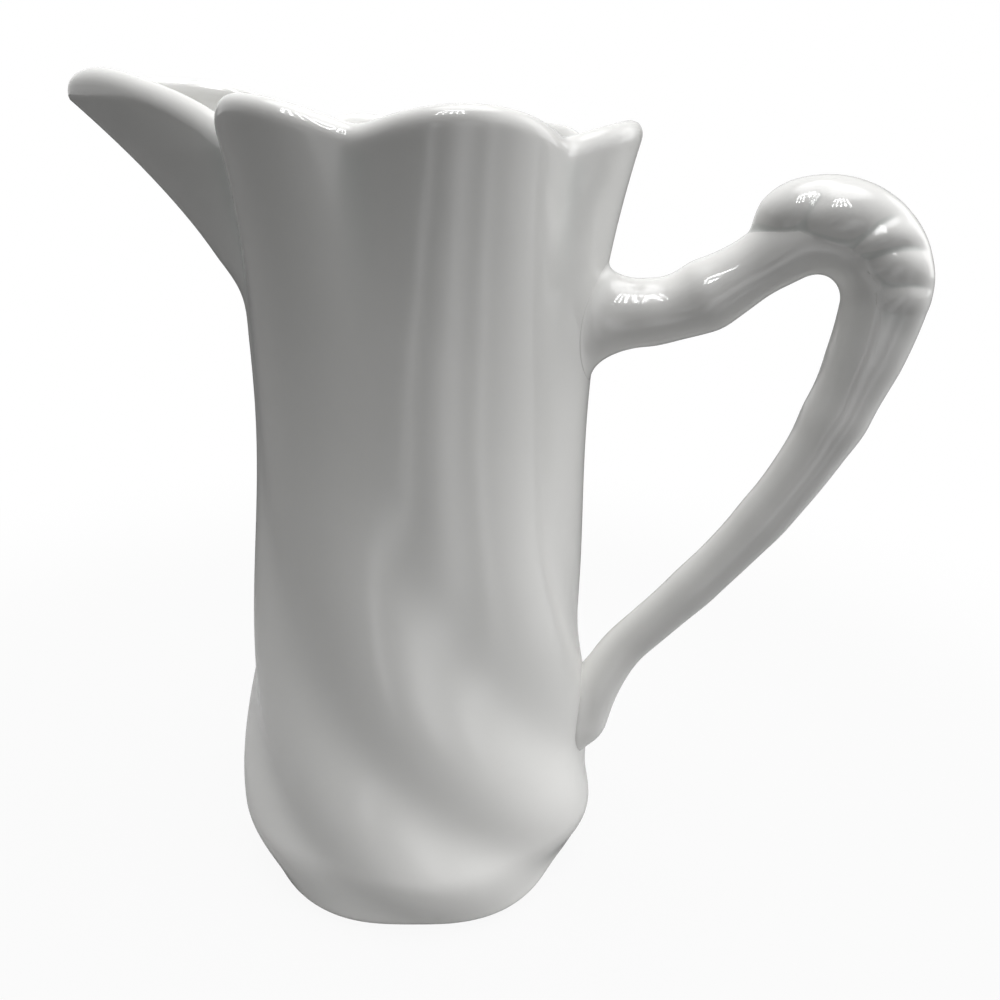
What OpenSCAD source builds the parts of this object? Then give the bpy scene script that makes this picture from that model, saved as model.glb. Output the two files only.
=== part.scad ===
// Porcelain ewer: a fluted body that twists towards its base, a beak spout, and a branch handle
// with a leaf for the thumb. Millimetres, standing on z = 0, handle to +X and spout to -X.

/* [Body] */
// Height of the rim's lobes above the table
body_h = 220; // [200:1:245]
// Mean radius at the rim
rim_r = 55.3; // [51:0.1:60]
// Outward slope of the wall at the rim, radius per height
rim_flare = 0.21; // [0.1:0.01:0.35]
// Mean radius at the waist
waist_r = 46.8; // [43:0.1:50]
// Height of the waist
waist_z = 135; // [115:1:145]
// Mean radius at the heel, the widest low part
heel_r = 55.8; // [52:0.1:60]
// Height of the heel
heel_z = 21; // [11:0.5:24]
// Mean radius of the base's edge
base_r = 52.5; // [50:0.5:55]
// Thickness of the wall
wall = 4.2; // [3:0.1:5.5]
// Thickness of the rounded lip
lip_w = 6; // [5.2:0.1:6.8]
// Thickness of the floor
floor_t = 5; // [4:0.5:8]
// Radius of the corner between the inside wall and the floor
floor_round = 9; // [5:0.5:14]

/* [Flutes] */
// Depth of a groove at the rim
rim_groove = 7.8; // [4:0.1:9]
// Depth of a groove at the waist
waist_groove = 1.2; // [0.8:0.1:3]
// Depth of a groove at the base
base_groove = 1.8; // [1.2:0.1:4]
// Dip of the rim where a groove meets it
rim_dip = 5; // [1:0.1:7]
// Rise of the rim from the handle's side to the spout's side
rim_rise = 2; // [0:0.1:6]
// Height below which the grooves turn round the body
twist_z = 145; // [110:1:150]
// Turn of the grooves from there down to the base, in degrees
twist_turn = 134; // [60:1:150]

/* [Foot] */
// Radius of the middle of the foot ring
foot_r = 42; // [36:0.5:44]
// Width of the foot ring
foot_w = 6; // [4:0.5:8]
// Height of the foot ring
foot_h = 1.5; // [1:0.1:3]

/* [Spout] */
// Reach of the spout's tip from the body's axis
spout_reach = 100; // [88:0.5:112]
// Depth of the spout's root below the rim
spout_depth = 63; // [56:0.5:68]
// Rise of the spout's lip above the rim
spout_rise = 8.2; // [6:0.1:14]
// Dip of the lip at the tip
spout_dip = 4.2; // [2:0.1:6]
// Height of the blunt front of the tip
spout_nose = 3.7; // [3:0.1:6]
// Fill of the grooves beside the spout, at the rim
seam_fill = 2.7; // [0:0.1:4]
// Further dip of the rim beside the spout
seam_dip = 3.2; // [0:0.1:4]

/* [Handle] */
// Height of the handle where it leaves its upper collar
root_z = 171.4; // [165:0.1:177]
// Length of the upper collar, from the body to the handle
collar_len = 12; // [9:0.5:15]
// Height of the upper collar on the body
collar_h = 32; // [27:0.5:36]
// Width of the upper collar on the body
collar_w = 28; // [24:0.5:34]
// Distance of the bend's centre from the body at the handle's root
bend_gap = 55.2; // [49:0.1:63]
// Height of the bend's centre
bend_z = 177.5; // [173:0.5:184]
// Radius of the bend, at the middle of the branch
bend_r = 15.4; // [13:0.1:18]
// Radius of the branch at the grip
grip_r = 9.1; // [8:0.1:10.5]
// Radius of the branch at its lower end
tail_r = 6.2; // [5.5:0.1:8]
// Height of the knuckles and hollows on the branch
knuckle = 0.6; // [0:0.05:1.2]
// Gap between the body and the middle of the branch's lower end
tail_gap = 17.2; // [15:0.1:23]
// Height of the branch's lower end
tail_z = 75.4; // [70:0.1:84]
// Height of the lower tongue's end
tongue_z = 37; // [30:0.5:44]
// Width of the lower tongue
tongue_w = 18; // [15:0.5:22]
// Half thickness of the lower tongue
tongue_t = 6.5; // [6.2:0.1:8]

/* [Leaf] */
// Thickness of the leaf over the top of the bend
leaf_t = 5.9; // [4:0.1:7]
// Thickness of the leaf's edge
leaf_edge = 1.4; // [1:0.1:2]
// Half angle that the leaf covers on the branch
leaf_wrap = 96; // [75:1:105]
// Depth of the hollows between the leaf's ribs
leaf_rib = 1.1; // [0.4:0.1:1.6]

/* [Hidden] */
porcelain = [0.93, 0.93, 0.91];
biscuit = [0.86, 0.83, 0.77];

// Six lobes, each ten columns wide, with the spout's lobe round the -X side
lobes = 6;
lobe_cols = 10;
cols = lobes * lobe_cols;
half_lobe = 180 / lobes;
seam_a = cols / 2 - lobe_cols / 2;
seam_b = cols / 2 + lobe_cols / 2;

// Heights of the rows: the wall below the spout's root, then the wall beside the spout
root_row = 16;
rim_row = root_row + 9;
spout_z = body_h - spout_depth;
row_crowd = 1.2;

// Slopes of the outline at its stations, radius per height
base_slope = 0;
heel_slope = -0.1;

// Shape of a groove: a small softness is a crease, a large one a wave
rim_soft = 0.22;
body_soft = 0.85;
groove_mean = 0.6;
groove_fade = 2.5;
twist_ease = 1.8;

// The grooves beside the spout are filled, and the rim dips, over a span to either side
fill_span = 24;
fill_fade = 5;

// Shape of the spout: share of its lobe that its root spans, and how sharp its keel is
root_span = 0.5;
keel_soft = 0.2;
keel_ease = 1.55;
lip_peak = 0.28;
blend_h = 24;

// The lip of the -Y side falls away sooner than that of the +Y side, whose crest is lower
lip_falls = [1.75, 6];
lip_lean = 1.6;

// Sides and rings of the handle's pieces, and how far a luted end is sunk before it is cut to fit
sides = 16;
upper_rings = 11;
bend_rings = 12;
lower_rings = 20;
branch_oval = 0.95;
sink = 3;

function lerp(a, b, t) = a + (b - a) * t;
function clamp01(t) = min(1, max(0, t));
function ease(t) = let (c = clamp01(t)) c * c * (3 - 2 * c);

// Cubic from (z0, r0) to (z1, r1) with a slope at each end
function hermite(z0, r0, m0, z1, r1, m1, z) =
    let (t = (z - z0) / (z1 - z0), l = z1 - z0)
    r0 * (2 * t^3 - 3 * t^2 + 1) + m0 * l * (t^3 - 2 * t^2 + t)
    + r1 * (3 * t^2 - 2 * t^3) + m1 * l * (t^3 - t^2);

// Mean outer radius of the body at a height
function outline_r(z) =
    z < heel_z ? hermite(foot_h, base_r, base_slope, heel_z, heel_r, heel_slope, z)
    : z < waist_z ? hermite(heel_z, heel_r, heel_slope, waist_z, waist_r, 0, z)
    : hermite(waist_z, waist_r, 0, body_h, rim_r, rim_flare, z);

// A lobe's height over its grooves: 0 in a groove, 1 on the crown
function lobe(angle, soft) =
    let (s = sin(lobes / 2 * (angle - half_lobe)))
    (sqrt(s * s + soft * soft) - soft) / (sqrt(1 + soft * soft) - soft);

function rim_share(z) = clamp01((z - waist_z) / (body_h - waist_z));
function groove_depth(z) =
    z > waist_z ? lerp(waist_groove, rim_groove, rim_share(z) ^ groove_fade)
    : lerp(waist_groove, base_groove, ease((waist_z - z) / waist_z));
function groove_soft(z) = lerp(body_soft, rim_soft, rim_share(z));
function turn(z) = twist_turn * clamp01((twist_z - z) / (twist_z - foot_h)) ^ twist_ease;

// How near an angle is to one of the spout's seams: 1 on it, 0 a span away
function near_seam(angle) = max(0, 1 - ((abs(angle - 180) - half_lobe) / fill_span) ^ 2) ^ 2;

// Outer radius of the wall, and the height of the rim, at an angle
function wall_r(angle, z) =
    outline_r(z) + groove_depth(z) * (lobe(angle - turn(z), groove_soft(z)) - groove_mean)
    + seam_fill * near_seam(angle) * rim_share(z) ^ fill_fade;
function rim_z(angle) =
    body_h - rim_dip * (1 - lobe(angle, rim_soft)) - rim_rise / 2 * cos(angle)
    - seam_dip * near_seam(angle);
function polar(r, angle, z) = [r * cos(angle), r * sin(angle), z];

// The spout's lobe narrows to its root, so the columns beside it are drawn in there
function seam_angle(z) =
    let (t = clamp01((spout_z + blend_h - z) / blend_h))
    half_lobe * (z < spout_z ? lerp(1, root_span, ease(1 - (spout_z - z) / blend_h))
                 : lerp(root_span, 1, 1 - t * t));
function column_angle(j, z) =
    let (
        a = j * 360 / cols - 180,
        off = abs(a),
        drawn = half_lobe - seam_angle(z),
        pull = off < half_lobe ? off / half_lobe : clamp01(1 - (off - half_lobe) / (2 * half_lobe))
    )
    180 + a - sign(a) * drawn * pull + turn(z);

// Place across the spout: 1 on its +Y seam, -1 on its -Y seam, 0 on its keel
function across(j) = (cols / 2 - j) / (lobe_cols / 2);
function in_spout(j) = abs(across(j)) < 1;
function notch_z() = rim_z(180 - half_lobe);
function lip_z(v) =
    let (
        s = abs(v),
        dip = spout_dip - (v > 0 ? lip_lean : 0),
        crest = body_h + spout_rise - spout_dip + dip,
        fall = lip_falls[v > 0 ? 1 : 0]
    )
    s < lip_peak ? crest - dip * ((lip_peak - s) / lip_peak) ^ 2
    : crest - (crest - notch_z()) * ((s - lip_peak) / (1 - lip_peak)) ^ fall;
function column_top(j) = in_spout(j) ? lip_z(across(j)) : rim_z(j * 360 / cols);

// Reach of the spout's keel at a height
function keel_r(z) =
    let (nose_z = lip_z(0) - spout_nose)
    lerp(wall_r(180, spout_z), spout_reach, clamp01((z - spout_z) / (nose_z - spout_z)) ^ keel_ease);

// Share of the way from the keel to the seam, and its slope
function flank(v) = (sqrt(v * v + keel_soft ^ 2) - keel_soft) / (sqrt(1 + keel_soft ^ 2) - keel_soft);
function flank_slope(v) = v / sqrt(v * v + keel_soft ^ 2) / (sqrt(1 + keel_soft ^ 2) - keel_soft);

// A point of the spout's skin, moved inwards by a depth square to its flank
function beak_point(v, z, depth) =
    let (
        zs = min(z, notch_z()),
        seam = polar(wall_r(180 - seam_angle(zs), zs), seam_angle(zs), z),
        keel = keel_r(z),
        side = [-keel + (keel - seam.x) * flank(v), seam.y * v, z],
        run = [(keel - seam.x) * flank_slope(v), seam.y],
        inwards = [run.y, -run.x] / norm(run),
        radial = [cos(seam_angle(zs)), -sin(seam_angle(zs)) * sign(v)],
        way = lerp(inwards, radial, v ^ 4),
        step = depth * way / norm(way)
    )
    [side.x + step.x, side.y + step.y, z];

// A point of the body's skin at a row's nominal height, moved inwards by a depth
function skin(j, row_z, depth) =
    let (
        top = column_top(j) - lip_rise(j),
        z = row_z <= spout_z ? row_z
            : lerp(spout_z, top, (row_z - spout_z) / (body_h - spout_z)),
        a = column_angle(j, min(z, notch_z())),
        plain = polar(wall_r(a, z) - depth, a, z)
    )
    in_spout(j) && row_z > spout_z
    ? lerp(plain, beak_point(across(j), z, depth), ease((z - spout_z) / blend_h))
    : plain;

function row_z(i) =
    i <= root_row ? lerp(foot_h, spout_z, (i / root_row) ^ row_crowd)
    : lerp(spout_z, body_h, (i - root_row) / (rim_row - root_row));

// The wall thickens towards the lip, which is rounded most on its outside: its crest lies a share
// of the way in from the outer skin. The spout's lip is thinner, and its rounding lower at the tip.
lip_crest = 0.7;
lip_round = 4.8;
lip_h = 14;
lip_steps = 6;
spout_lip = 5.2;
tip_round = 3;
function lip_depth(j) = in_spout(j) ? lerp(spout_lip, lip_w, across(j) ^ 4) : lip_w;
function lip_rise(j) = in_spout(j) ? lerp(tip_round, lip_round, ease(abs(across(j)) / lip_peak)) : lip_round;
function inner_depth(j, z) = lerp(wall, lip_depth(j), ease((z - body_h) / lip_h + 1));
function lip_point(j, k) =
    let (
        outer = skin(j, body_h, 0),
        inner = skin(j, body_h, lip_depth(j)),
        half = 180 * k / lip_steps,
        share = half < 90 ? lip_crest * (1 - cos(half)) : 1 - (1 - lip_crest) * (1 + cos(half))
    )
    lerp(outer, inner, share) + [0, 0, lip_rise(j) * sin(half)];

// Rows of the inside below the spout's root, down to the floor's corner
inner_rows = 7;
inner_floor = foot_h + floor_t;
function inner_z(k) = lerp(spout_z, inner_floor + floor_round, k / inner_rows);
corner_steps = 3;
function corner_point(j, k) =
    let (
        a = 90 * k / corner_steps,
        z = inner_floor + floor_round * (1 - sin(a)),
        inset = wall + floor_round * (1 - cos(a))
    )
    polar(wall_r(column_angle(j, z), inner_floor + floor_round) - inset, column_angle(j, z), z);

// One grid holds the body and the spout: rows run up the outside, over the lip and down the inside
outer_end = rim_row;
lip_end = outer_end + lip_steps;
mouth_end = lip_end + rim_row - root_row;
inside_end = mouth_end + inner_rows;
last_row = inside_end + corner_steps;
function grid_point(i, j) =
    i <= outer_end ? skin(j, row_z(i), 0)
    : i < lip_end ? lip_point(j, i - outer_end)
    : i <= mouth_end ? let (z = row_z(rim_row - (i - lip_end))) skin(j, z, inner_depth(j, z))
    : i <= inside_end ? skin(j, inner_z(i - mouth_end), wall)
    : corner_point(j, i - inside_end);

grid = [for (i = [0:last_row]) for (j = [0:cols - 1]) grid_point(i, j)];
function at(i, j) = i * cols + (j + cols) % cols;
function quad(a, b, c, d) = [[a, b, c], [a, c, d]];
function cell(i, j) = quad(at(i, j), at(i + 1, j), at(i + 1, j + 1), at(i, j + 1));

// The spout's cells, and the seam faces that close it and the body alike
function spout_cell(i, j) = i >= root_row && i < mouth_end && j >= seam_a && j < seam_b;
mirror_row = root_row + mouth_end;
function seam_side(j) = concat(
    [for (i = [root_row:outer_end - 1])
        each quad(at(i, j), at(i + 1, j), at(mirror_row - i - 1, j), at(mirror_row - i, j))],
    [[for (i = [outer_end:lip_end]) at(i, j)]]);
function seam_root() = [for (j = [seam_a:seam_b - 1])
    each quad(at(root_row, j), at(mouth_end, j), at(mouth_end, j + 1), at(root_row, j + 1))];
function turned(faces) = [for (f = faces) [for (k = [len(f) - 1:-1:0]) f[k]]];
seam_faces = concat(seam_side(seam_a), turned(seam_side(seam_b)), seam_root());

module body() {
    floor_pole = len(grid);
    base_pole = floor_pole + 1;
    shell = [for (i = [0:last_row - 1]) for (j = [0:cols - 1]) if (!spout_cell(i, j)) each cell(i, j)];
    inside_floor = [for (j = [0:cols - 1]) [at(last_row, j), floor_pole, at(last_row, j + 1)]];
    underside = [for (j = [0:cols - 1]) [at(0, j), at(0, j + 1), base_pole]];
    color(porcelain)
        polyhedron(
            concat(grid, [[0, 0, inner_floor], [0, 0, foot_h]]),
            concat(shell, inside_floor, underside, seam_faces));
}

module spout() {
    cells = [for (i = [root_row:mouth_end - 1]) for (j = [seam_a:seam_b - 1]) each cell(i, j)];
    color(porcelain) polyhedron(grid, concat(cells, turned(seam_faces)));
}

// Dry ring under the body, with its edges rounded
module foot_ring() {
    edge = foot_h / 4;
    color(biscuit)
        rotate_extrude($fn = 96)
            polygon([
                [foot_r - foot_w / 2, foot_h],
                [foot_r - foot_w / 2 + edge, edge],
                [foot_r - foot_w / 2 + 2 * edge, 0],
                [foot_r + foot_w / 2 - 2 * edge, 0],
                [foot_r + foot_w / 2 - edge, edge],
                [foot_r + foot_w / 2, foot_h]
            ]);
}

function bezier(p, t) =
    p[0] * (1 - t)^3 + p[1] * 3 * t * (1 - t)^2 + p[2] * 3 * t^2 * (1 - t) + p[3] * t^3;
function heading(angle) = [cos(angle), sin(angle)];

// The branch's middle line, as x and z: a rising curve, the bend, and a long falling curve
bend_from = 125;
bend_to = -4;
root_heading = 7;
tail_heading = 229;
rise_pull = [14, 13];
fall_pull = [40, 40];
branch_start = [wall_r(0, root_z) + collar_len, root_z];
branch_end = [wall_r(0, tail_z) + tail_gap, tail_z];
bend_mid = [wall_r(0, root_z) + bend_gap, bend_z];
bend_start = bend_mid + bend_r * heading(bend_from);
bend_end = bend_mid + bend_r * heading(bend_to);
rise_curve = [
    branch_start,
    branch_start + rise_pull[0] * heading(root_heading),
    bend_start - rise_pull[1] * heading(bend_from - 90),
    bend_start
];
fall_curve = [
    bend_end,
    bend_end + fall_pull[0] * heading(bend_to - 90),
    branch_end - fall_pull[1] * heading(tail_heading),
    branch_end
];
function branch_mid(u) =
    u < 1 ? bezier(rise_curve, u)
    : u <= 2 ? bend_mid + bend_r * heading(lerp(bend_from, bend_to, u - 1))
    : bezier(fall_curve, u - 2);

// Knuckles and hollows along the branch: place, length and share of the height
swells = [
    [0.18, 0.12, -0.7], [0.42, 0.1, 0.9], [0.76, 0.18, -1.5],
    [1.75, 0.4, 0.6], [2.26, 0.06, 0.4], [2.56, 0.05, 0.4], [2.8, 0.05, 0.4]
];
thin_from = 2.2;
function branch_r(u) =
    let (t = clamp01((u - thin_from) / (3 - thin_from)))
    lerp(grip_r, tail_r, 1 - (1 - t)^2)
    + knuckle * [for (k = swells) k[2] * exp(-((u - k[0]) / k[1])^2)] * [for (k = swells) 1];

branch_us = concat(
    [for (k = [0:upper_rings - 1]) k / upper_rings],
    [for (k = [0:bend_rings - 1]) 1 + k / bend_rings],
    [for (k = [0:lower_rings]) 2 + k / lower_rings]);

// Heading of a path of x, z points, and a ring of points square to it
function path_heading(path, k) =
    let (a = path[max(0, k - 1)], b = path[min(len(path) - 1, k + 1)]) atan2(b.y - a.y, b.x - a.x);
function ring(mid, angle, r_in_plane, r_across) =
    [for (s = [0:sides - 1])
        let (b = 360 * s / sides, out = r_in_plane * cos(b) * heading(angle + 90))
        [mid.x + out.x, r_across * sin(b), mid.y + out.y]];
branch_path = [for (u = branch_us) branch_mid(u)];
function branch_angle(k) =
    k == 0 ? root_heading : k == len(branch_us) - 1 ? tail_heading : path_heading(branch_path, k);
function branch_ring(k) =
    let (r = branch_r(branch_us[k])) ring(branch_path[k], branch_angle(k), r, r * branch_oval);

// Solid through a list of rings, closed flat at both ends
module loft(rings) {
    n = len(rings[0]);
    m = len(rings);
    walls = [for (i = [0:m - 2]) for (j = [0:n - 1])
        let (k = (j + 1) % n)
        each quad(i * n + j, i * n + k, (i + 1) * n + k, (i + 1) * n + j)];
    ends = [[for (j = [n - 1:-1:0]) j], [for (j = [0:n - 1]) (m - 1) * n + j]];
    polyhedron([for (r = rings) each r], concat(walls, ends));
}

module branch_handle() {
    color(porcelain) loft([for (k = [0:len(branch_us) - 1]) branch_ring(k)]);
}

// The part of the body that a handle's end is luted to: its skin between two rows, to an angle
// either side of the handle, and a share of the way in to the axis
patch_core = 0.35;
module body_patch(row_a, row_b, reach) {
    col_a = floor((-reach - turn(row_z(row_a))) * cols / 360);
    col_b = ceil((reach - turn(row_z(row_b))) * cols / 360);
    rows = row_b - row_a;
    wide = col_b - col_a;
    face = [for (i = [row_a:row_b]) for (j = [col_a:col_b]) skin(j, row_z(i), 0)];
    core = [for (p = face) [p.x * patch_core, p.y * patch_core, p.z]];
    n = len(face);
    function f(i, j) = i * (wide + 1) + j;
    front = [for (i = [0:rows - 1]) for (j = [0:wide - 1])
        each quad(f(i, j), f(i + 1, j), f(i + 1, j + 1), f(i, j + 1))];
    back = [for (i = [0:rows - 1]) for (j = [0:wide - 1])
        each quad(n + f(i, j), n + f(i, j + 1), n + f(i + 1, j + 1), n + f(i + 1, j))];
    sides_a = [for (i = [0:rows - 1])
        each quad(f(i, 0), n + f(i, 0), n + f(i + 1, 0), f(i + 1, 0))];
    sides_b = [for (i = [0:rows - 1])
        each quad(f(i, wide), f(i + 1, wide), n + f(i + 1, wide), n + f(i, wide))];
    low = [for (j = [0:wide - 1]) each quad(f(0, j), f(0, j + 1), n + f(0, j + 1), n + f(0, j))];
    high = [for (j = [0:wide - 1])
        each quad(f(rows, j), n + f(rows, j), n + f(rows, j + 1), f(rows, j + 1))];
    polyhedron(concat(face, core), concat(front, back, sides_a, sides_b, low, high));
}

// Collar of clay that spreads the handle's upper end on the body, a little lower than the handle
collar_rings = 7;
collar_drop = 3;
collar_ease = 2.2;
collar_rows = [root_row - 3, rim_row];
collar_reach = 36;
module upper_collar() {
    r = branch_r(0);
    rings = [for (k = [-1:collar_rings])
        let (t = min(1, 1 - k / collar_rings), spread = t^collar_ease)
        ring(
            branch_start + [-collar_len * t - (k < 0 ? sink : 0), -collar_drop * t * t],
            lerp(0, root_heading, 1 - t),
            lerp(r, collar_h / 2, spread),
            lerp(r * branch_oval, collar_w / 2, spread))];
    color(porcelain)
        difference() {
            loft(rings);
            body_patch(collar_rows[0], collar_rows[1], collar_reach);
        }
}

// Tongue of clay that lays the handle's lower end on the body: shares of its length where it has
// its full thickness, its full width and its rounded nose, and the pull of its curve's ends
tongue_rings = 14;
tongue_thick_by = 0.5;
tongue_wide_by = 0.67;
tongue_nose = 0.8;
tongue_tip = 0.2;
tongue_lead = 12;
tongue_lift = 18;
tongue_lean = 1;
tongue_rows = [2, 11];
tongue_reach = 16;
tongue_end = [wall_r(0, tongue_z), tongue_z];
tongue_curve = [
    branch_end,
    branch_end + tongue_lead * heading(tail_heading),
    tongue_end + [tongue_lean, tongue_lift],
    tongue_end - [tongue_lean, 0]
];
tongue_path = [for (k = [0:tongue_rings]) bezier(tongue_curve, k / tongue_rings)];
function tongue_ring(k) =
    let (
        t = k / tongue_rings,
        past = max(0, (t - tongue_nose) / (1 - tongue_nose)),
        nose = sqrt(max(tongue_tip^2, 1 - past^2)),
        r = lerp(tail_r, tongue_t, ease(t / tongue_thick_by)) * nose,
        w = lerp(tail_r * branch_oval, tongue_w / 2, ease(t / tongue_wide_by)) * nose
    )
    ring(tongue_path[k], k == 0 ? tail_heading : path_heading(tongue_path, k), r, w);
module lower_tongue() {
    color(porcelain)
        difference() {
            loft([for (k = [0:tongue_rings]) tongue_ring(k)]);
            body_patch(tongue_rows[0], tongue_rows[1], tongue_reach);
        }
}

// Leaf over the bend: t runs along it and v across it, with a row of lobes down each side.
// It starts and ends at places along the branch, and its core is cut to the branch's skin.
leaf_from = 0.9;
leaf_to = 2.15;
leaf_rows = 30;
leaf_cols = 14;
leaf_core = 0.7;
core_cols = 4;
leaf_step = 0.01;
leaf_seat = [upper_rings - 4, upper_rings + bend_rings + 6];
leaf_lobes = 5;
lobe_lean = 0.12;
lobe_shift = 0.07;
scallop = 0.14;

// Shares of the leaf's width and thickness along it, and where each is reached
start_wide = 0.3;
full_wide_at = 0.6;
start_thick = 0.5;
full_thick_at = 0.1;
thin_at = 0.3;
end_thick = 0.5;
round_at = 0.8;
end_share = 0.25;
function leaf_end(t) =
    sqrt(max(end_share^2, 1 - max(0, (t - round_at) / (1 - round_at))^2));

// A lobe's height over the creases beside it: 0 in a crease, 1 on the lobe
function leaf_lobe(t, v) = abs(sin(180 * leaf_lobes * (t + lobe_lean * abs(v) - lobe_shift)));
function leaf_wide(t) =
    leaf_wrap * lerp(start_wide, 1, sin(90 * min(1, t / full_wide_at))) * leaf_end(t)
    * (1 - scallop * (1 - leaf_lobe(t, 1)));
function leaf_high(t) =
    leaf_t * lerp(start_thick, 1, min(1, t / full_thick_at)) * leaf_end(t)
    * lerp(1, end_thick, ease((t - thin_at) / (1 - thin_at)));
function leaf_skin(t, v) =
    let (
        crown = lerp(leaf_edge, leaf_high(t), sqrt(1 - v * v)),
        crease = leaf_rib * abs(v) * (1 - leaf_lobe(t, v))
    )
    max(leaf_edge / 2, crown - crease);

// A point of the leaf at a distance from the branch's middle line
function leaf_point(t, v, r) =
    let (
        u = lerp(leaf_from, leaf_to, t),
        mid = branch_mid(u),
        ahead = branch_mid(u + leaf_step) - branch_mid(u - leaf_step),
        b = leaf_wide(t) * v,
        out = r * cos(b) * heading(atan2(ahead.y, ahead.x) + 90)
    )
    [mid.x + out.x, r * branch_oval * sin(b), mid.y + out.y];
function leaf_ring(t) =
    let (r = branch_r(lerp(leaf_from, leaf_to, t)))
    concat(
        [for (k = [0:leaf_cols])
            let (v = 2 * k / leaf_cols - 1) leaf_point(t, v, r + leaf_skin(t, v))],
        [for (k = [core_cols:-1:0]) leaf_point(t, 2 * k / core_cols - 1, leaf_core * r)]);
module thumb_leaf() {
    color(porcelain)
        difference() {
            loft([for (i = [0:leaf_rows]) leaf_ring(i / leaf_rows)]);
            loft([for (k = [leaf_seat[0]:leaf_seat[1]]) branch_ring(k)]);
        }
}

body();
spout();
foot_ring();
branch_handle();
upper_collar();
lower_tongue();
thumb_leaf();
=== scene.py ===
"""White porcelain ewer: a fluted body that twists, a beak spout, and a branch handle with a leaf.

The shapes are worked out in millimetres and become meshes in metres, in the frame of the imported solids:
+Z up the body, the handle to +X and the spout to -X.
"""

import logging
import math
from dataclasses import dataclass, field
from enum import Enum
from typing import Any, NamedTuple

import bpy
import numpy as np
from mathutils import Matrix, Vector
from mathutils.bvhtree import BVHTree

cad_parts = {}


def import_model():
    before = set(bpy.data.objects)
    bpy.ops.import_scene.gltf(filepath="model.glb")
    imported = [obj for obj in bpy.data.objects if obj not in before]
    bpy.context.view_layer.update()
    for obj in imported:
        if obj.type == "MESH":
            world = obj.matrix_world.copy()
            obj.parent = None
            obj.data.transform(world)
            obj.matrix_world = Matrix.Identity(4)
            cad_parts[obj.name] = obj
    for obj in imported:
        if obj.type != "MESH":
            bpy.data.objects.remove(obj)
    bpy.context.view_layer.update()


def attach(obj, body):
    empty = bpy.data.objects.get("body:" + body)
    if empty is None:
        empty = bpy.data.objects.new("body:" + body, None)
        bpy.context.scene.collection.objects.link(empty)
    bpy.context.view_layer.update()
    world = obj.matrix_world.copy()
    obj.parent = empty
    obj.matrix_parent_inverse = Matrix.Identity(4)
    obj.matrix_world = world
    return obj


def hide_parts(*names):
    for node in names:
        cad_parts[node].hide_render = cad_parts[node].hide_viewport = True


LOG = logging.getLogger("ewer")
MM = 0.001
MICRONS = 1e6

Socket = bpy.types.NodeSocket
Span = tuple[float, float]
Point = tuple[float, float, float]
Colour = tuple[float, float, float, float]

WHITE: Colour = (1.0, 1.0, 1.0, 1.0)


class Slot(Enum):
    """The record's material slots."""

    PORCELAIN = "porcelain"
    BISCUIT = "biscuit"


def lerp(a: Any, b: Any, t: Any) -> Any:
    """Go from a to b by the share t; numbers, arrays and node fields alike."""
    return a + (b - a) * t


def ease(t: np.ndarray | float) -> np.ndarray | float:
    """Rise smoothly from 0 to 1 while t does."""
    c = np.clip(t, 0.0, 1.0)
    return c * c * (3.0 - 2.0 * c)


def heading(degrees: float) -> np.ndarray:
    """Give the unit vector, as x and z, at an angle above +X."""
    return np.array([math.cos(math.radians(degrees)), math.sin(math.radians(degrees))])


def bezier(points: list[np.ndarray], t: float) -> np.ndarray:
    """Give the point of a cubic curve at the share t."""
    s = 1.0 - t
    return points[0] * s**3 + points[1] * 3 * t * s**2 + points[2] * 3 * t**2 * s + points[3] * t**3


class Field:
    """A number that varies over a mesh: a socket of a geometry node tree, with arithmetic."""

    def __init__(self, tree: bpy.types.NodeTree, socket: Socket) -> None:
        """Hold the tree and the socket that carries the number."""
        self.tree = tree
        self.socket = socket

    def math(self, operation: str, *others: "Field | float") -> "Field":
        """Feed this number and others to a math node.

        Args:
            operation: the math node's operation.
            others: the node's further inputs, as fields or plain numbers.

        Returns:
            The node's result.
        """
        node = self.tree.nodes.new("ShaderNodeMath")
        node.operation = operation
        for slot, value in zip(node.inputs, (self, *others)):
            if isinstance(value, Field):
                self.tree.links.new(value.socket, slot)
            else:
                slot.default_value = value
        return Field(self.tree, node.outputs[0])

    def __add__(self, other: "Field | float") -> "Field":
        """Add."""
        return self.math("ADD", other)

    def __sub__(self, other: "Field | float") -> "Field":
        """Subtract."""
        return self.math("SUBTRACT", other)

    def __rsub__(self, other: float) -> "Field":
        """Subtract this number from a plain one."""
        return self * -1.0 + other

    def __mul__(self, other: "Field | float") -> "Field":
        """Multiply."""
        return self.math("MULTIPLY", other)

    def __truediv__(self, other: "Field | float") -> "Field":
        """Divide."""
        return self.math("DIVIDE", other)

    def __pow__(self, power: "Field | float") -> "Field":
        """Raise to a power."""
        return self.math("POWER", power)

    __radd__ = __add__
    __rmul__ = __mul__

    def unit(self) -> "Field":
        """Hold the number between 0 and 1."""
        return self.math("MAXIMUM", 0.0).math("MINIMUM", 1.0)

    def eased(self) -> "Field":
        """Rise smoothly from 0 to 1 while the number does."""
        c = self.unit()
        return c * c * (3.0 - 2.0 * c)

    def below(self, limit: "Field | float") -> "Field":
        """Give 1 where the number is under a limit, and 0 elsewhere."""
        return self.math("LESS_THAN", limit)


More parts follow.
